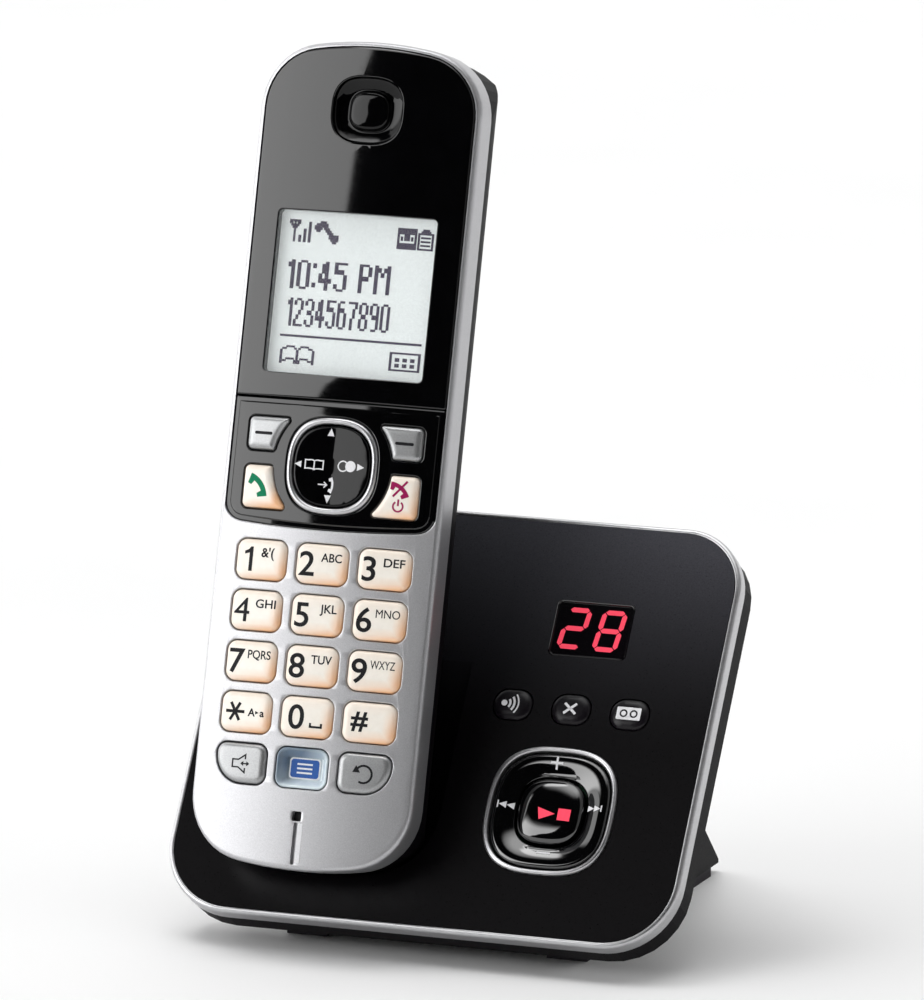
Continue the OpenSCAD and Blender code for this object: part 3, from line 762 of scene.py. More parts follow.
def front_shell():
    """The silver front case: a rim around the two panels and the keypad's face."""
    edge = [(1.0, 0.0), (0.72, -0.04), (0.45, -0.16), (0.22, -0.42), (0.07, -0.85), (0, -1.5),
            (0, -FRONT_DEPTH + 0.2), (0.15, -FRONT_DEPTH)]
    hole = [(0.22, 0.0), (0.1, -0.03), (0.02, -0.12), (0, -0.25), (0, -FRONT_DEPTH)]
    rim = [(0.28, 0.0), (0.14, -0.03), (0.03, -0.12), (0, -0.3), (0, -FRONT_DEPTH)]
    fine = [(0.08, 0.0), (0.02, -0.03), (0, -0.1), (0, -FRONT_DEPTH)]
    foot = MIC_Y - MIC_HALF
    mic = rounded(2 * MIC_HALF, 2 * MIC_HALF, 0.3, 0, MIC_Y, 3)
    groove = rounded(0.8, foot - 1.5, 0.25, 0, (foot + 0.9) / 2, 3)
    loops = [edge_rings(hand_outline, edge), hole_rings(panels_outline, rim)]
    for row in range(5):
        loops += [hole_rings(key_shape(col, row), hole, KEY_GAP) for col in range(3)]
    loops += [hole_rings(mic, fine), hole_rings(groove, fine)]
    solid("front_shell", loops, SILVER, bend=bend_front, replaces=["handset_front_case"])
    solid("microphone_groove", [edge_rings(inset(groove, -0.3), [(0, -0.75), (0, -1.4)])], SILVER)
    solid("microphone_mesh", [edge_rings(inset(mic, -0.3), [(0, -1.3), (0, -1.9)])], INNER_BLACK)
    # A painted highlight: a pale strip printed beside the microphone groove stands in for the groove's lit
    # far wall.
    highlight_strip = rounded(0.9, foot - 1.9, 0.2, 0.95, (foot + 1.1) / 2, 3)
    print_on("microphone_groove_painted_highlight", [(highlight_strip, [])], GROOVE_HIGHLIGHT_PAINT, "handset", 0.0)


def key_cap(name, shape, finish, lift, glow=None, reach=2.6):
    """A key with a softly rounded edge and a crowned top."""
    profile = [(reach, lift), (1.25, lift), (0.85, lift - 0.04), (0.5, lift - 0.16),
               (0.22, lift - 0.42), (0.06, lift - 0.8), (0, lift - 1.2), (0, -2.4)]
    return solid(name, [edge_rings(shape, profile)], finish, name, glow=glow)


def edge_glow(cx, cy, w, h):
    """How much painted warm light a key gets at a point: most at its right and lower edges."""
    def glow(co):
        across, up = (co.x - cx) / (w / 2), (co.y - cy) / (h / 2)
        rim = min(1.0, max(0.0, (max(abs(across), abs(up)) - 0.5) / 0.44))
        lean = max(0.0, across * 0.55 - up * 0.65)
        return rim * min(1.0, 0.18 + 0.95 * lean)
    return glow


# Outlines and letters of the legends, about the centre of their key.
ONE = [(-2.42, -2.4), (-1.67, -2.4), (-1.67, 2.4), (-2.2, 2.4), (-2.65, 1.85), (-3.45, 1.5),
       (-3.45, 0.9), (-2.42, 1.2)]
SPACE_BAR = [(1.1, -1.05), (1.1, -1.8), (3.4, -1.8), (3.4, -1.05)]
CONE = [(1.1, 0.85), (1.1, 1.75), (-0.35, 0.75), (-1.6, 0.75), (-1.6, -0.75), (-0.35, -0.75),
        (1.1, -1.75), (1.1, -0.85)]
LETTERS = {"2": "ABC", "3": "DEF", "4": "GHI", "5": "JKL", "6": "MNO", "7": "PQRS", "8": "TUV",
           "9": "WXYZ"}
LETTERS_W = {"JKL": 3.5, "MNO": 4.9, "PQRS": 4.9, "WXYZ": 5.0}
OTHER_W = 4.3
DIGIT_WEIGHT, LETTER_WEIGHT = 0.011, 0.012


def star_sign(cx, cy, r):
    """A six-armed asterisk."""
    angles = [radians(60 * k) for k in range(6)]
    return [stroke([(cx, cy), (cx + r * cos(a), cy + r * sin(a))], r * 0.3) for a in angles]


def key_legend(name):
    """The shapes and the texts on a number key; glyphs that would fill up get no extra weight."""
    if name == "star":
        tip = ([(2.2, 0.35), (2.2, -0.35), (2.95, 0)], [])
        texts = [("A", 1.45, 1.4, 0, 1.0, 0.02), ("a", 1.45, 3.65, 0, 1.0, 0.02)]
        return star_sign(-2.15, 0, 2.0) + [tip], texts
    if name == "hash":
        return [], [("#", 3.6, -1.8, 0.45, 1.05, 0.022)]
    if name == "1":
        return [(ONE, [])], [("&'(", 1.75, 1.55, 1.4, 0.95, 0.02)]
    if name == "0":
        return [stroke(SPACE_BAR, 0.42)], [(name, 4.6, -1.95, -0.05, 1.06, DIGIT_WEIGHT)]
    word = LETTERS[name]
    weight = 0.0 if "M" in word or "W" in word else LETTER_WEIGHT
    return [], [(name, 4.6, -2.9, -0.05, 1.06, 0.0 if name == "4" else DIGIT_WEIGHT),
                (word, 1.62, 4.3, 1.35, 1.0, weight, LETTERS_W.get(word, OTHER_W))]


def number_keys():
    for i, name in enumerate([*"123456789", "star", "0", "hash"]):
        place = (i % 3, i // 3)
        centre = key_centre(*place)
        node = f"key_{name}"
        key_cap(node, key_shape(*place), KEY_CREAM, KEY_LIFT, edge_glow(*centre, KEY_W, KEY_H))
        shapes, texts = key_legend(name)
        print_on(f"{node}_legend", shapes, INK_BLACK, node, KEY_LIFT, texts, centre)


def bottom_keys():
    speaker = [stroke(CONE, 0.3), stroke([(0.55, 0), (1.65, 0)], 0.26),
               ([(0.75, 0.5), (0.1, 0), (0.75, -0.5)], []),
               ([(1.4, 0.5), (1.4, -0.5), (2.05, 0)], [])]
    recall = [stroke(arc(0.1, -0.1, 1.7, 150, -120, 14), 0.42),
              ([(-2.2, 0.2), (-0.6, 0.2), (-1.5, 1.6)], [])]
    keys = (("speaker_key", 0, speaker, 0.1), ("recall_key", 2, recall, 0))
    for node, col, _, _ in keys:
        key_cap(node, key_shape(col, 4), KEY_SILVER, KEY_LIFT)
    for node, col, sign, drop in keys:
        cx, cy = key_centre(col, 4)
        print_on(f"{node}_sign", sign, INK_BLACK, node, KEY_LIFT, at=(cx, cy - drop))
    function_key()


def function_key():
    """A clear key with a sunken well, and a small blue label that lies in the well."""
    cx, cy = key_centre(1, 4)
    tray = [(1.9, -2.12), (1.75, -2.05), (1.6, -1.75), (1.05, -0.75), (0.6, -0.12), (0.42, 0.02),
            (0.25, 0.06), (0.1, 0.0), (0, -0.2), (0, -3.2)]
    node = "function_key"
    solid(node, [edge_rings(key_shape(1, 4), tray)], BLUE_PLASTIC, node, glow=well_light(cx, cy))
    plate = rounded(6.6, 4.2, 0.7, cx, cy, 5)
    solid("function_key_plate", [edge_rings(plate, quarter(0.12, -1.95, 3) + [(0, -2.15)])],
          LABEL_WHITE, node)
    badge = rounded(5.9, 3.6, 0.6, cx, cy, 5)
    solid("function_key_label", [edge_rings(badge, [(0.05, -1.89), (0, -1.91), (0, -1.97)])],
          LABEL_BLUE, node)
    bars = [stroke([(-1.6, y), (1.6, y)], 0.36) for y in (0.85, 0, -0.85)]
    print_on("function_key_sign", bars, LABEL_WHITE, node, -1.88, at=(cx, cy))


def well_light(cx, cy):
    """How much painted light the clear key gets at a point: a painted shade keeps its left and upper walls
    dark.
    """
    def glow(co):
        across, up = (co.x - cx) / (KEY_W / 2), (co.y - cy) / (KEY_H / 2)
        return min(1.0, max(0.0, 0.5 + 0.55 * across - 0.5 * up))
    return glow


# --------------- handset: glossy panels
def display_panel():
    edge = [(0.55, PANEL_LIFT), (0.35, 0.08), (0.16, -0.06), (0.04, -0.3), (0, -0.6), (0, -PANEL_DEPTH)]
    lip = [(0.3, PANEL_LIFT), (0.16, 0.09), (0.05, 0.0), (0, -0.14), (0, -PANEL_DEPTH)]
    ear_lip = [(0.34, PANEL_LIFT), (0.2, 0.09), (0.07, -0.04), (0, -0.3), (0, -PANEL_DEPTH)]
    screen = rounded(SCREEN_W, SCREEN_H, 0.9, 0, SCREEN_Y, 5)
    ear = squircle(EAR_W / 2, EAR_R, 0, EAR_Y, EAR_H / EAR_W)
    loops = [edge_rings(display_outline, edge), hole_rings(screen, lip), hole_rings(ear, ear_lip)]
    solid("display_panel", loops, GLOSS, sharp=PANEL_SHARP, merged=True)
    solid("screen_lens", [edge_rings(inset(screen, 0.06), quarter(0.12, 0.02, 3) + [(0, -0.8)])],
          LENS, replaces=["lcd_lens"])
    behind = rounded(SCREEN_W + 1.6, SCREEN_H + 1.6, 0.4, 0, SCREEN_Y, 3)
    solid("screen_face", [edge_rings(behind, [(0, SCREEN_Z), (0, SCREEN_Z - 0.04)])], SCREEN, bend=False)


def nav_panel():
    edge = [(1.3, PANEL_LIFT), (1.22, 0.1), (1.12, 0.0), (1.02, -0.04), (0.3, -0.1), (0.08, -0.22),
            (0, -0.5), (0, -PANEL_DEPTH)]
    lip = [(0.26, PANEL_LIFT), (0.12, 0.08), (0.03, 0.0), (0, -0.14), (0, -PANEL_DEPTH)]
    loops = [edge_rings(nav_outline, edge)]
    loops.append(hole_rings(squircle(NAV_HALF + PANEL_GAP, NAV_R, 0, NAV_Y), lip))
    for side in (-1, 1):
        for span in (SOFT_KEY_Y, CALL_KEY_Y):
            loops.append(hole_rings(side_key_shape(side, span), lip, KEY_GAP))
    solid("nav_panel", loops, GLOSS, sharp=PANEL_SHARP)


NAV_EDGE = [(0.2, 0.0), (0.4, 0.0), (0.6, 0.0), (0.8, 0.0), (0.93, 0.0), (0.955, -0.02),
            (0.975, -0.08), (0.99, -0.2), (1.0, -0.4), (1.0, -2.6)]
NAV_SLOPE, NAV_LOW = 0.075, -0.22


def nav_trough(x):
    """Height of the navigation key, two shallow slopes that meet in its middle."""
    return NAV_LOW + NAV_SLOPE * abs(x)


def nav_cluster():
    """The silver ring and the key inside it, which slopes down to its middle line."""
    ring = squircle(NAV_HALF, NAV_R, 0, NAV_Y)
    inner = squircle(NAV_KEY_HALF + RING_GAP, NAV_KEY_R + RING_GAP_R, 0, NAV_Y)
    outside = [(0.62, 0.52), (0.46, 0.5), (0.3, 0.42), (0.15, 0.28), (0.04, 0.08), (0, -0.1), (0, -2.5)]
    inside = [(0.55, 0.52), (0.4, 0.48), (0.24, 0.38), (0.1, 0.2), (0.02, 0.0), (0, -0.2), (0, -2.5)]
    solid("nav_ring", [edge_rings(ring, outside), hole_rings(inner, inside)], RING_METAL, sharp=DOME_SHARP)
    key = squircle(NAV_KEY_HALF, NAV_KEY_R, 0, NAV_Y)
    solid("nav_key", [dome_rings(key, (0, NAV_Y), NAV_EDGE)], NAV_GLOSS, "nav_key",
          bend=on_nav_key, sharp=DOME_SHARP)


def on_nav_key(co):
    return bend_all(co) + (nav_trough(co.x) if co.z > -1 else 0.0)


def nav_signs():
    tips = [([(-1.5, 5.9), (-0.1, 5.9), (-0.8, 7.4)], []),
            ([(-1.0, -5.7), (-0.3, -7.3), (0.4, -5.7)], []),
            ([(-6.3, -0.65), (-6.3, 0.65), (-7.7, 0)], []),
            ([(5.4, -0.5), (6.9, 0.2), (5.4, 0.9)], [])]
    page = [(0, 0.68), (0.25, 0.84), (0.7, 0.9), (1.2, 0.82), (1.85, 0.85),
            (1.85, -0.85), (1.2, -0.78), (0.7, -0.8), (0.25, -0.85), (0, -1.05)]
    book = [stroke([(side * px - 3.65, py + 0.1) for px, py in page], 0.24) for side in (1, -1)]
    book.append(stroke([(-3.65, 0.8), (-3.65, -0.95)], 0.24))
    rings = [stroke(arc(2.35, 0.2, 1.0, 0, 345, 23), 0.26, True), disc(3.95, 0.25, 1.1)]
    arrow = [stroke([(-2.5, -3.7), (-0.75, -3.7)], 0.24),
             stroke([(-1.3, -3.15), (-0.7, -3.7), (-1.3, -4.25)], 0.24)]
    phone = turned(receiver(3.2, 0.42, 28), -90, 0.5, -3.7)
    print_on("nav_key_signs", tips + book + rings + arrow + phone, INK_WHITE, "nav_key", 0.015,
             at=(0, NAV_Y), bend=on_nav_key)


def side_keys():
    for side, word in ((-1, "left"), (1, "right")):
        node = f"soft_key_{word}"
        key_cap(node, side_key_shape(side, SOFT_KEY_Y), KEY_SILVER, SIDE_KEY_LIFT, reach=1.6)
        bar = rounded(3.8, 0.6, 0.28, side * 14.8, 84.8, 4)
        print_on(f"{node}_bar", [(bar, [])], INK_BLACK, node, SIDE_KEY_LIFT)
    middle = sum(CALL_KEY_Y) / 2
    for side, node in ((-1, "talk_key"), (1, "end_key")):
        glow = edge_glow(side * 14.6, middle, 7.6, CALL_KEY_Y[1] - CALL_KEY_Y[0])
        key_cap(node, side_key_shape(side, CALL_KEY_Y), KEY_CREAM, SIDE_KEY_LIFT, glow, 1.6)
    talk = turned(receiver(5.7, 1.05, 32), -50, -14.35, 74.9)
    print_on("talk_key_sign", talk, INK_GREEN, "talk_key", SIDE_KEY_LIFT)
    hang = turned(receiver(4.7, 0.8, 32), -36, 15.05, 76.2)
    hang.append(stroke([(13.5, 74.4), (16.2, 77.5)], 0.42))
    power = [stroke(arc(14.7, 72.5, 1.0, 125, 415, 20), 0.34),
             stroke([(14.7, 72.6), (14.7, 73.9)], 0.36)]
    print_on("end_key_sign", hang + power, INK_RED, "end_key", SIDE_KEY_LIFT)


def on_earpiece(co):
    """The dome also curves from side to side, more than the face around it."""
    return bend_all(co) - 0.0125 * co.x ** 2


def earpiece():
    """A smooth dome deep in a round-cornered recess."""
    cover = squircle(EAR_W / 2 - 0.1, EAR_R, 0, EAR_Y, EAR_H / EAR_W)
    profile = [(0.05, -0.8), (0.2, -0.8), (0.35, -0.8), (0.44, -0.815), (0.5, -0.87), (0.54, -0.98),
               (0.57, -1.2), (0.59, -1.6), (0.62, -1.84), (0.66, -1.84), (0.73, -1.7), (0.82, -1.4),
               (0.91, -1.06), (0.97, -0.76), (1.0, -0.48), (1.0, -2.4)]
    solid("earpiece_cover", [dome_rings(cover, (0, EAR_Y), profile)], NAV_GLOSS,
          bend=on_earpiece, sharp=DOME_SHARP)


# --------------- screen
# Rows of dots from the top down, parted by strokes.
DIGITS = {
    "0": ".##./#..#/#..#/#..#/#..#/#..#/.##.",
    "1": ".#/##/.#/.#/.#/.#/.#",
    "2": ".##./#..#/...#/..#./.#../#.../####",
    "3": ".##./#..#/...#/.##./...#/#..#/.##.",
    "4": "..#./.##./.##./#.#./####/..#./..#.",
    "5": "####/#.../###./...#/...#/#..#/.##.",
    "6": ".##./#.../###./#..#/#..#/#..#/.##.",
    "7": "####/...#/..#./..#./.#../.#../.#..",
    "8": ".##./#..#/#..#/.##./#..#/#..#/.##.",
    "9": ".##./#..#/#..#/.###/...#/...#/.##.",
    ":": "./#/./././#/.",
    "P": "###./#..#/#..#/###./#.../#.../#...",
    "M": "#...#/##.##/#.#.#/#...#/#...#/#...#/#...#",
    " ": "../../../../../../..",
}
ANTENNA = "#######/##.#.##/.#####./..###../...#.../...#.../...#.../...#.../...#.../...#..."
HANDSET = ("...###......./.######....../#######....../####.###...../.##...###..../.......###.../"
           "........#####/........#####/.........####/..........##.")
TAPE = ("###########/###########/###########/#...###...#/#.#.###.#.#/#.#.###.#.#/#.........#/"
        "###########/###########/###########")
BATTERY = ("...####.../..######../##########/#........#/#.######.#/#........#/#.######.#/#........#/"
           "#.######.#/#........#/##########")
BOOK = ("...####...####.../.##....#.#....##./#.......#.......#/#.......#.......#/"
        "#.......#.......#/#.......#.......#/#..####.#.####..#/###....###....###/"
        "#......###......#")
KEYPAD = ("################/#..............#/#..............#/#..##..##..##..#/#..##..##..##..#/"
          "#..............#/#..##..##..##..#/#..##..##..##..#/#..............#/################")


def screen_line(words, x, top, dx, dy):
    """A line of dot-matrix words, with each row of dots but the first and last repeated."""
    shapes = []
    for letter in words:
        rows = DIGITS[letter].split("/")
        tall = rows[:1] + [row for row in rows[1:-1] for _ in range(2)] + rows[-1:]
        shapes += dots("/".join(tall), x, top, dx, dy)
        x += (len(rows[0]) + 1) * dx
    return shapes


def screen_signs():
    shapes = dots(ANTENNA, -14.8, 127.3, 0.32, 0.44) + dots(HANDSET, -9.5, 127.3, 0.39, 0.44)
    for x, top in ((-12.5, 124.3), (-11.5, 125.6), (-10.5, 127.0)):
        shapes.append(rectangle(x - 0.3, 122.9, x + 0.3, top))
    shapes += dots(TAPE, 8.0, 127.1, 0.36, 0.42) + dots(BATTERY, 12.3, 127.1, 0.32, 0.38)
    shapes += screen_line("10:45 PM", -14.2, 119.4, 0.65, 0.475)
    shapes += screen_line("1234567890", -13.5, 111.9, 0.455, 0.465)
    shapes.append(rectangle(-14.6, 104.2, 15.2, 104.65))
    shapes += dots(BOOK, -14.2, 102.5, 0.42, 0.4) + dots(KEYPAD, 8.8, 102.7, 0.4, 0.37)
    print_on("screen_dots", shapes, INK_SCREEN, "handset", SCREEN_Z + 0.03, bend=False,
             thick=0.03)


# --------------- the base
def base_outline(o=0.0):
    return rounded(BASE_W - 2 * o, BASE_H - 2 * o, [r - o for r in BASE_RADII], 0, BASE_H / 2, 14)


def base_trim():
    """The silver frame around the face, with a rounded outer edge."""
    outer = [(0.75, -0.02), (0.5, -0.06), (0.28, -0.2), (0.1, -0.48), (0, -0.95), (0, -TRIM_DEPTH + 0.2),
             (0.12, -TRIM_DEPTH)]
    inner = [(0.14, -0.02), (0.05, -0.08), (0, -0.3), (0, -TRIM_DEPTH)]
    solid("base_trim", [edge_rings(base_outline, outer),
                        hole_rings(base_outline, inner, -TRIM_W)],
          TRIM, "base", replaces=["base_trim_frame"])


SEGMENTS = {"a": ((0, 2), (1, 2)), "b": ((1, 2), (1, 1)), "c": ((1, 1), (1, 0)),
            "d": ((0, 0), (1, 0)), "e": ((0, 0), (0, 1)), "f": ((0, 1), (0, 2)),
            "g": ((0, 1), (1, 1))}
LIT = {"2": "abdeg", "8": "abcdefg"}


def seven_segment(digit, x, y, w, h, width, lean):
    """The lit bars of one slanted digit whose lower left corner is at x, y."""
    shapes = []
    for bar in LIT[digit]:
        (ax, ay), (bx, by) = SEGMENTS[bar]
        a, b = Vector((ax * w, ay * h / 2)), Vector((bx * w, by * h / 2))
        along = (b - a).normalized()
        side = Vector((-along.y, along.x)) * width / 2
        a, b = a + along * width * 0.14, b - along * width * 0.14
        tip = along * width / 2
        points = [a, a + tip + side, b - tip + side, b, b - tip - side, a + tip - side]
        shapes.append((counter_clockwise([(x + p.x + p.y * lean, y + p.y) for p in points]), []))
    return shapes


def led_window():
    window = shrinking(LED_W - 0.1, LED_H - 0.1, (1.2,) * 4, LED_X, LED_Y, 6)
    edge = [(0.5, -0.28), (0.42, -0.27), (0.34, -0.1), (0.24, 0.04), (0.12, 0.06), (0.02, 0.0),
            (0, -0.2), (0, -1.1)]
    solid("led_window", [edge_rings(window, edge)], WINDOW, "base", replaces=["display_window"])
    shapes = []
    for digit, x in (("2", 18.45), ("8", 25.85)):
        shapes += seven_segment(digit, x, 61.35, 4.25, 7.75, 0.98, 0.12)
    print_on("led_digits", shapes, LED_RED, "base", -0.26)


BUTTON_DOME = [(0.12, 0.8), (0.45, 0.78), (0.62, 0.72), (0.76, 0.6), (0.87, 0.42), (0.95, 0.18),
               (1.0, -0.15), (1.0, -2.8)]


def base_buttons():
    waves = [disc(-1.55, 0, 0.62)]
    waves += [stroke(arc(-1.55, 0, r, -40, 40, 8), w) for r, w in ((1.25, 0.46), (2.1, 0.46), (2.95, 0.3))]
    cross = [stroke([(-1.25, -up), (1.25, up)], 0.52) for up in (1.0625, -1.0625)]
    reels = [arc(x, 0, 0.84, 0, 330, 11) for x in (-1.05, 1.05)]
    tape = [(rounded(5.0, 2.6, 0.2, 0, 0, 3), reels)]
    tape += [disc(x, 0, 0.5, 12) for x in (-1.05, 1.05)]
    tape.append(stroke([(-0.5, -0.68), (0.5, -0.68)], 0.2))
    buttons = (("locator_button", waves, (BUTTON_X - BUTTON_DX, BUTTON_Y)),
               ("erase_button", cross, (BUTTON_X, BUTTON_Y)),
               ("answer_button", tape, (BUTTON_X + BUTTON_DX, BUTTON_Y)))
    for node, _, centre in buttons:
        outline = shrinking(BUTTON_W, BUTTON_H, (BUTTON_R,) * 4, *centre)
        solid(node, [dome_rings(outline, centre, BUTTON_DOME)], BUTTON_BLACK, node, sharp=DOME_SHARP)
    for node, sign, centre in buttons:
        print_on(f"{node}_sign", sign, INK_WHITE, node, BUTTON_INK_Z, at=centre)


PLAY_DOME = [(0.1, 1.18), (0.3, 1.15), (0.5, 1.07), (0.66, 0.93), (0.8, 0.7), (0.9, 0.42),
             (0.97, 0.0), (1.0, -0.6), (1.0, -4.0)]
FUNNEL_IN, FUNNEL_OUT, FUNNEL_LOW, FUNNEL_HIGH = 7.5, 10.7, -0.55, 0.42


def funnel_z(half):
    """Height of the four-way key, which slopes down to the middle, at a half width."""
    t = min(1.0, max(0.0, (half - FUNNEL_IN) / (FUNNEL_OUT - FUNNEL_IN)))
    return FUNNEL_LOW + (FUNNEL_HIGH - FUNNEL_LOW) * (1 - (1 - t) ** 1.6)


def base_ring():
    """The silver ring, the sloping four-way key inside it and the round play key."""
    ring = squircle(RING_HALF, RING_R, RING_X, RING_Y)
    inner = squircle(RING_KEY_HALF + RING_GAP, RING_KEY_R + RING_GAP_R, RING_X, RING_Y)
    outside = [(0.54, 0.7), (0.4, 0.68), (0.25, 0.6), (0.11, 0.45), (0.02, 0.2), (0, 0.0), (0, -1.9)]
    inside = [(0.48, 0.7), (0.34, 0.66), (0.2, 0.57), (0.08, 0.4), (0.02, 0.2), (0, 0.0), (0, -1.9)]
    solid("base_ring_trim", [edge_rings(ring, outside), hole_rings(inner, inside)], RING_METAL,
          "base", sharp=DOME_SHARP)
    key = squircle(RING_KEY_HALF, RING_KEY_R, RING_X, RING_Y)
    slope = [RING_KEY_HALF - FUNNEL_IN - 0.4 * k for k in range(1, 9)]
    funnel = [(o, funnel_z(RING_KEY_HALF - o)) for o in slope if o > 1.3]
    outside = funnel + [(1.0, 0.44), (0.6, 0.36), (0.3, 0.16), (0.1, -0.2), (0, -0.7), (0, -2.7)]
    well = squircle(PLAY_HALF + 0.4, PLAY_R + 0.2, RING_X, RING_Y)
    inside = [(0.3, FUNNEL_LOW), (0.18, FUNNEL_LOW - 0.04), (0.06, FUNNEL_LOW - 0.18), (0, -1.0), (0, -2.7)]
    solid("base_ring_key", [edge_rings(key, outside), hole_rings(well, inside)], KNOB_GLOSS,
          "base_ring_key", sharp=DOME_SHARP)
    play = squircle(PLAY_HALF, PLAY_R, RING_X, RING_Y)
    solid("play_stop_button", [dome_rings(play, (RING_X, RING_Y), PLAY_DOME)], KNOB_GLOSS,
          "play_stop_button", sharp=DOME_SHARP)


def on_funnel(co):
    share = share_out(co.x - RING_X, co.y - RING_Y, RING_KEY_HALF, RING_KEY_R)
    return co.z + funnel_z(share * RING_KEY_HALF)


def on_play_dome(co):
    return co.z + height_at(PLAY_DOME, share_out(co.x - RING_X, co.y - RING_Y, PLAY_HALF, PLAY_R))


def ring_signs():
    bar, middle = 0.42, 0.55
    plus = [rectangle(-1.75, 9.8, 0.8, 9.8 + bar), rectangle(-0.68, 9.8 + bar, -0.68 + bar, 11.2),
            rectangle(-0.68, 8.7, -0.68 + bar, 9.8)]
    minus = [rectangle(-1.1, -8.8, 1.7, -8.8 + bar)]
    back = [rectangle(-11.0, middle - 0.75, -10.75, middle + 0.75)]
    forward = [rectangle(10.35, middle + 0.2, 10.6, middle + 1.5)]
    for a, b in ((-10.7, 10.3), (-9.15, 8.85)):
        back.append(([(a, middle), (a + 1.5, middle - 0.7), (a + 1.5, middle + 0.7)], []))
        forward.append(([(b, middle + 0.85), (b - 1.4, middle + 1.5), (b - 1.4, middle + 0.2)], []))
    print_on("base_ring_signs", plus + minus + back + forward, INK_WHITE, "base_ring_key", 0.02,
             at=(RING_X, RING_Y), bend=on_funnel)
    play = [([(-2.2, 0.35), (-1.6, -2.15), (1.5, -0.8)], []), rectangle(2.1, -2.0, 4.6, 0.4)]
    print_on("play_stop_sign", play, LED_RED, "play_stop_button", 0.02, at=(RING_X, RING_Y),
             bend=on_play_dome)


# --------------- CAD nodes that stay visible
KEPT = (
    (CASE_BLACK, "handset_rear_case battery_door base_rear_cover"),
    (FACE_BLACK, "base_front_cover"),
    (RUBBER, "keypad_mat base_feet"),
    (BOARD, "handset_board base_board"),
    (SLEEVE, "battery_cells"),
    (GOLD, "battery_springs handset_charge_pads charge_contact_left charge_contact_right"),
    (STEEL, "handset_screws base_screws"),
    (INNER_BLACK, "lcd_module led_display line_jack dc_inlet earpiece_speaker microphone"
                  " ringer_speaker base_speaker nav_pivot base_ring_pivot"),
)


def finish_kept_nodes():
    for finish, names in KEPT:
        for name in names.split():
            data = frame["nodes"][name].data
            data.materials.clear()
            data.materials.append(finish.material)


# --------------- floor, light, view
def floor():
    data = bpy.data.meshes.new("floor")
    mesh = bmesh.new()
    bmesh.ops.create_grid(mesh, x_segments=8, y_segments=8, size=4.0)
    mesh.to_mesh(data)
    mesh.free()
    pale = grained(None, "pale_floor", (6,), (0.90, 0.90, 0.90), (0.93, 0.93, 0.93), (0.7, 0.8))
    data.materials.append(pale.material)
    ground = bpy.data.objects.new("floor", data)
    link(ground)
    ground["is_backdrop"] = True


class Sky(Graph):
    """The studio around the object, as light from each direction."""

    def __init__(self):
        world = bpy.data.worlds.new("studio")
        bpy.context.scene.world = world
        super().__init__(world)
        where = self.add("TexCoord").outputs["Generated"]
        x, y, z = self.add("SeparateXYZ", Vector=where).outputs
        left, front = self.times(x, -1.0), self.times(y, -1.0)
        self.azimuth = self.times(self.math("ARCTAN2", left, front), 180 / pi)
        self.elevation = self.times(self.math("ARCSINE", z), 180 / pi)

    def times(self, first, second):
        return self.math("MULTIPLY", first, second)

    def plus(self, first, second):
        return self.math("ADD", first, second)

    def step(self, source, start, end, low=0.0, high=1.0):
        return self.ramp(source, low, high, start, end, "SMOOTHSTEP")

    def band(self, source, low, high, soft_low, soft_high):
        return self.times(self.step(source, low - soft_low, low + soft_low),
                          self.step(source, high - soft_high, high + soft_high, 1.0, 0.0))

    def panel(self, azimuths, elevations, azimuth_soft, elevation_soft):
        return self.times(self.band(self.azimuth, *azimuths, *azimuth_soft),
                          self.band(self.elevation, *elevations, *elevation_soft))


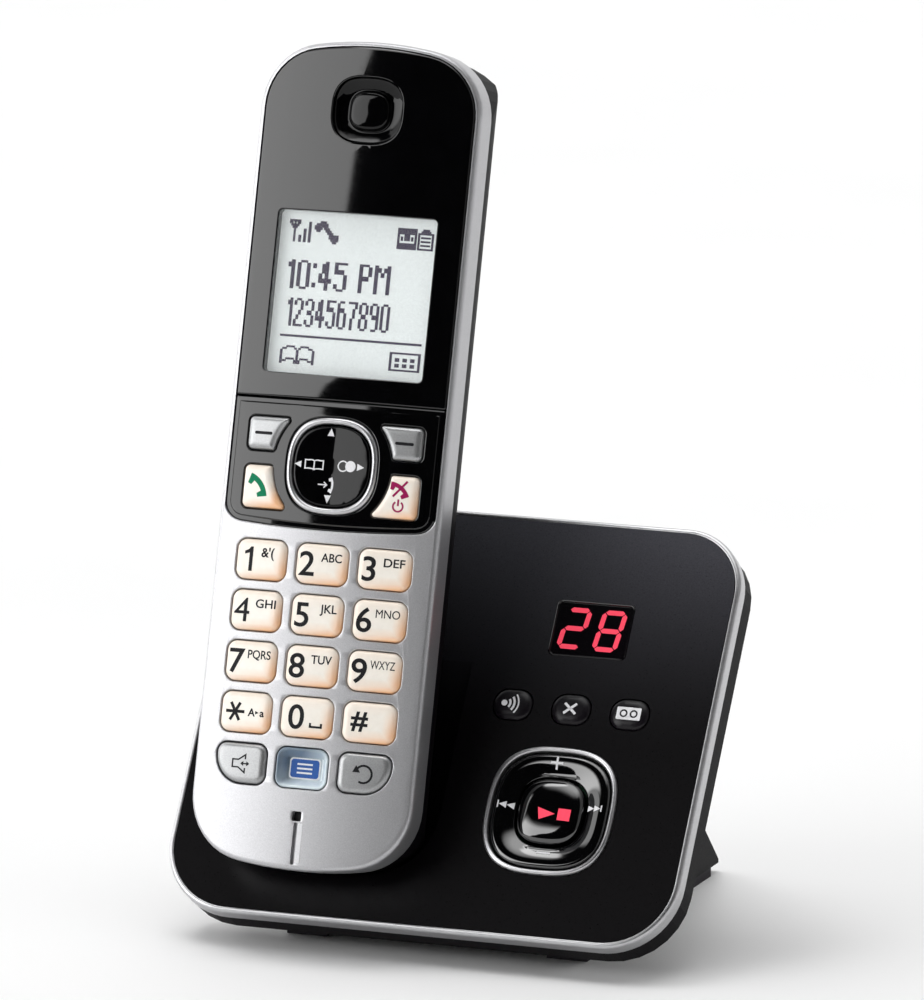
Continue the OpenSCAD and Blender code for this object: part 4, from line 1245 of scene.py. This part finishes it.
def studio():
    """Softboxes in front, at the left and overhead, a dark front, and white all round."""
    sky = Sky()
    lean = sky.times(sky.plus(sky.elevation, -17.4), 0.6)
    front = sky.times(sky.band(sky.plus(sky.azimuth, lean), 24.8, 64.0, 0.4, 6.0),
                      sky.band(sky.elevation, -12.0, 36.0, 3.0, 5.0))
    front = sky.times(front, sky.step(sky.azimuth, 22.0, 50.0, 3.2, 4.2))
    left = sky.times(sky.panel((57.0, 116.0), (14.0, 47.0), (1.5, 8.0), (5.0, 3.0)), 1.6)
    above = sky.times(sky.panel((66.0, 130.0), (64.0, 78.0), (8.0, 8.0), (2.0, 3.0)), 3.4)
    streak = sky.times(sky.panel((92.0, 108.0), (-5.0, 6.0), (2.0, 2.0), (2.0, 2.0)), 6.0)
    dark = sky.panel((-66.0, 84.0), (-12.0, 64.0), (12.0, 6.0), (3.0, 6.0))
    shade = sky.panel((-150.0, -66.0), (-50.0, 58.0), (4.0, 8.0), (8.0, 8.0))
    fill = sky.times(sky.step(dark, 0.0, 1.0, 1.0, 0.006), sky.step(shade, 0.0, 1.0, 1.0, 0.34))
    ceiling = sky.step(sky.elevation, 62.0, 80.0, 0.0, 1.7)
    boxes = sky.plus(sky.math("MAXIMUM", front, left), sky.plus(above, streak))
    total = sky.plus(boxes, sky.plus(fill, ceiling))
    sky.feed_all(sky.nodes["Background"], {"Strength": total, "Color": (1.0, 1.0, 1.0, 1.0)})


def camera():
    """The view: some 21 degrees round to the right and 12 degrees above the table."""
    azimuth, elevation = (radians(angle) for angle in VIEW_ANGLES)
    look = Vector((-sin(azimuth) * cos(elevation),
                   cos(azimuth) * cos(elevation), -sin(elevation)))
    data = bpy.data.cameras.new("camera")
    data.sensor_fit = "VERTICAL"
    data.sensor_height = SENSOR_MM
    data.lens = LENS_MM
    data.clip_end = 30
    eye = bpy.data.objects.new("camera", data)
    eye.location = VIEW_TARGET - look * VIEW_DISTANCE
    eye.rotation_euler = look.to_track_quat("-Z", "Y").to_euler()
    link(eye)
    bpy.context.scene.camera = eye
    bpy.context.scene.view_settings.view_transform = "Standard"


camera()
studio()
floor()
front_shell()
number_keys()
bottom_keys()
display_panel()
nav_panel()
nav_cluster()
nav_signs()
side_keys()
earpiece()
screen_signs()
base_trim()
led_window()
base_buttons()
base_ring()
ring_signs()
finish_kept_nodes()


def corners(box):
    return [list(corner) for corner in box]


{"cad": corners(cad_box), "visual": corners(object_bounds())}
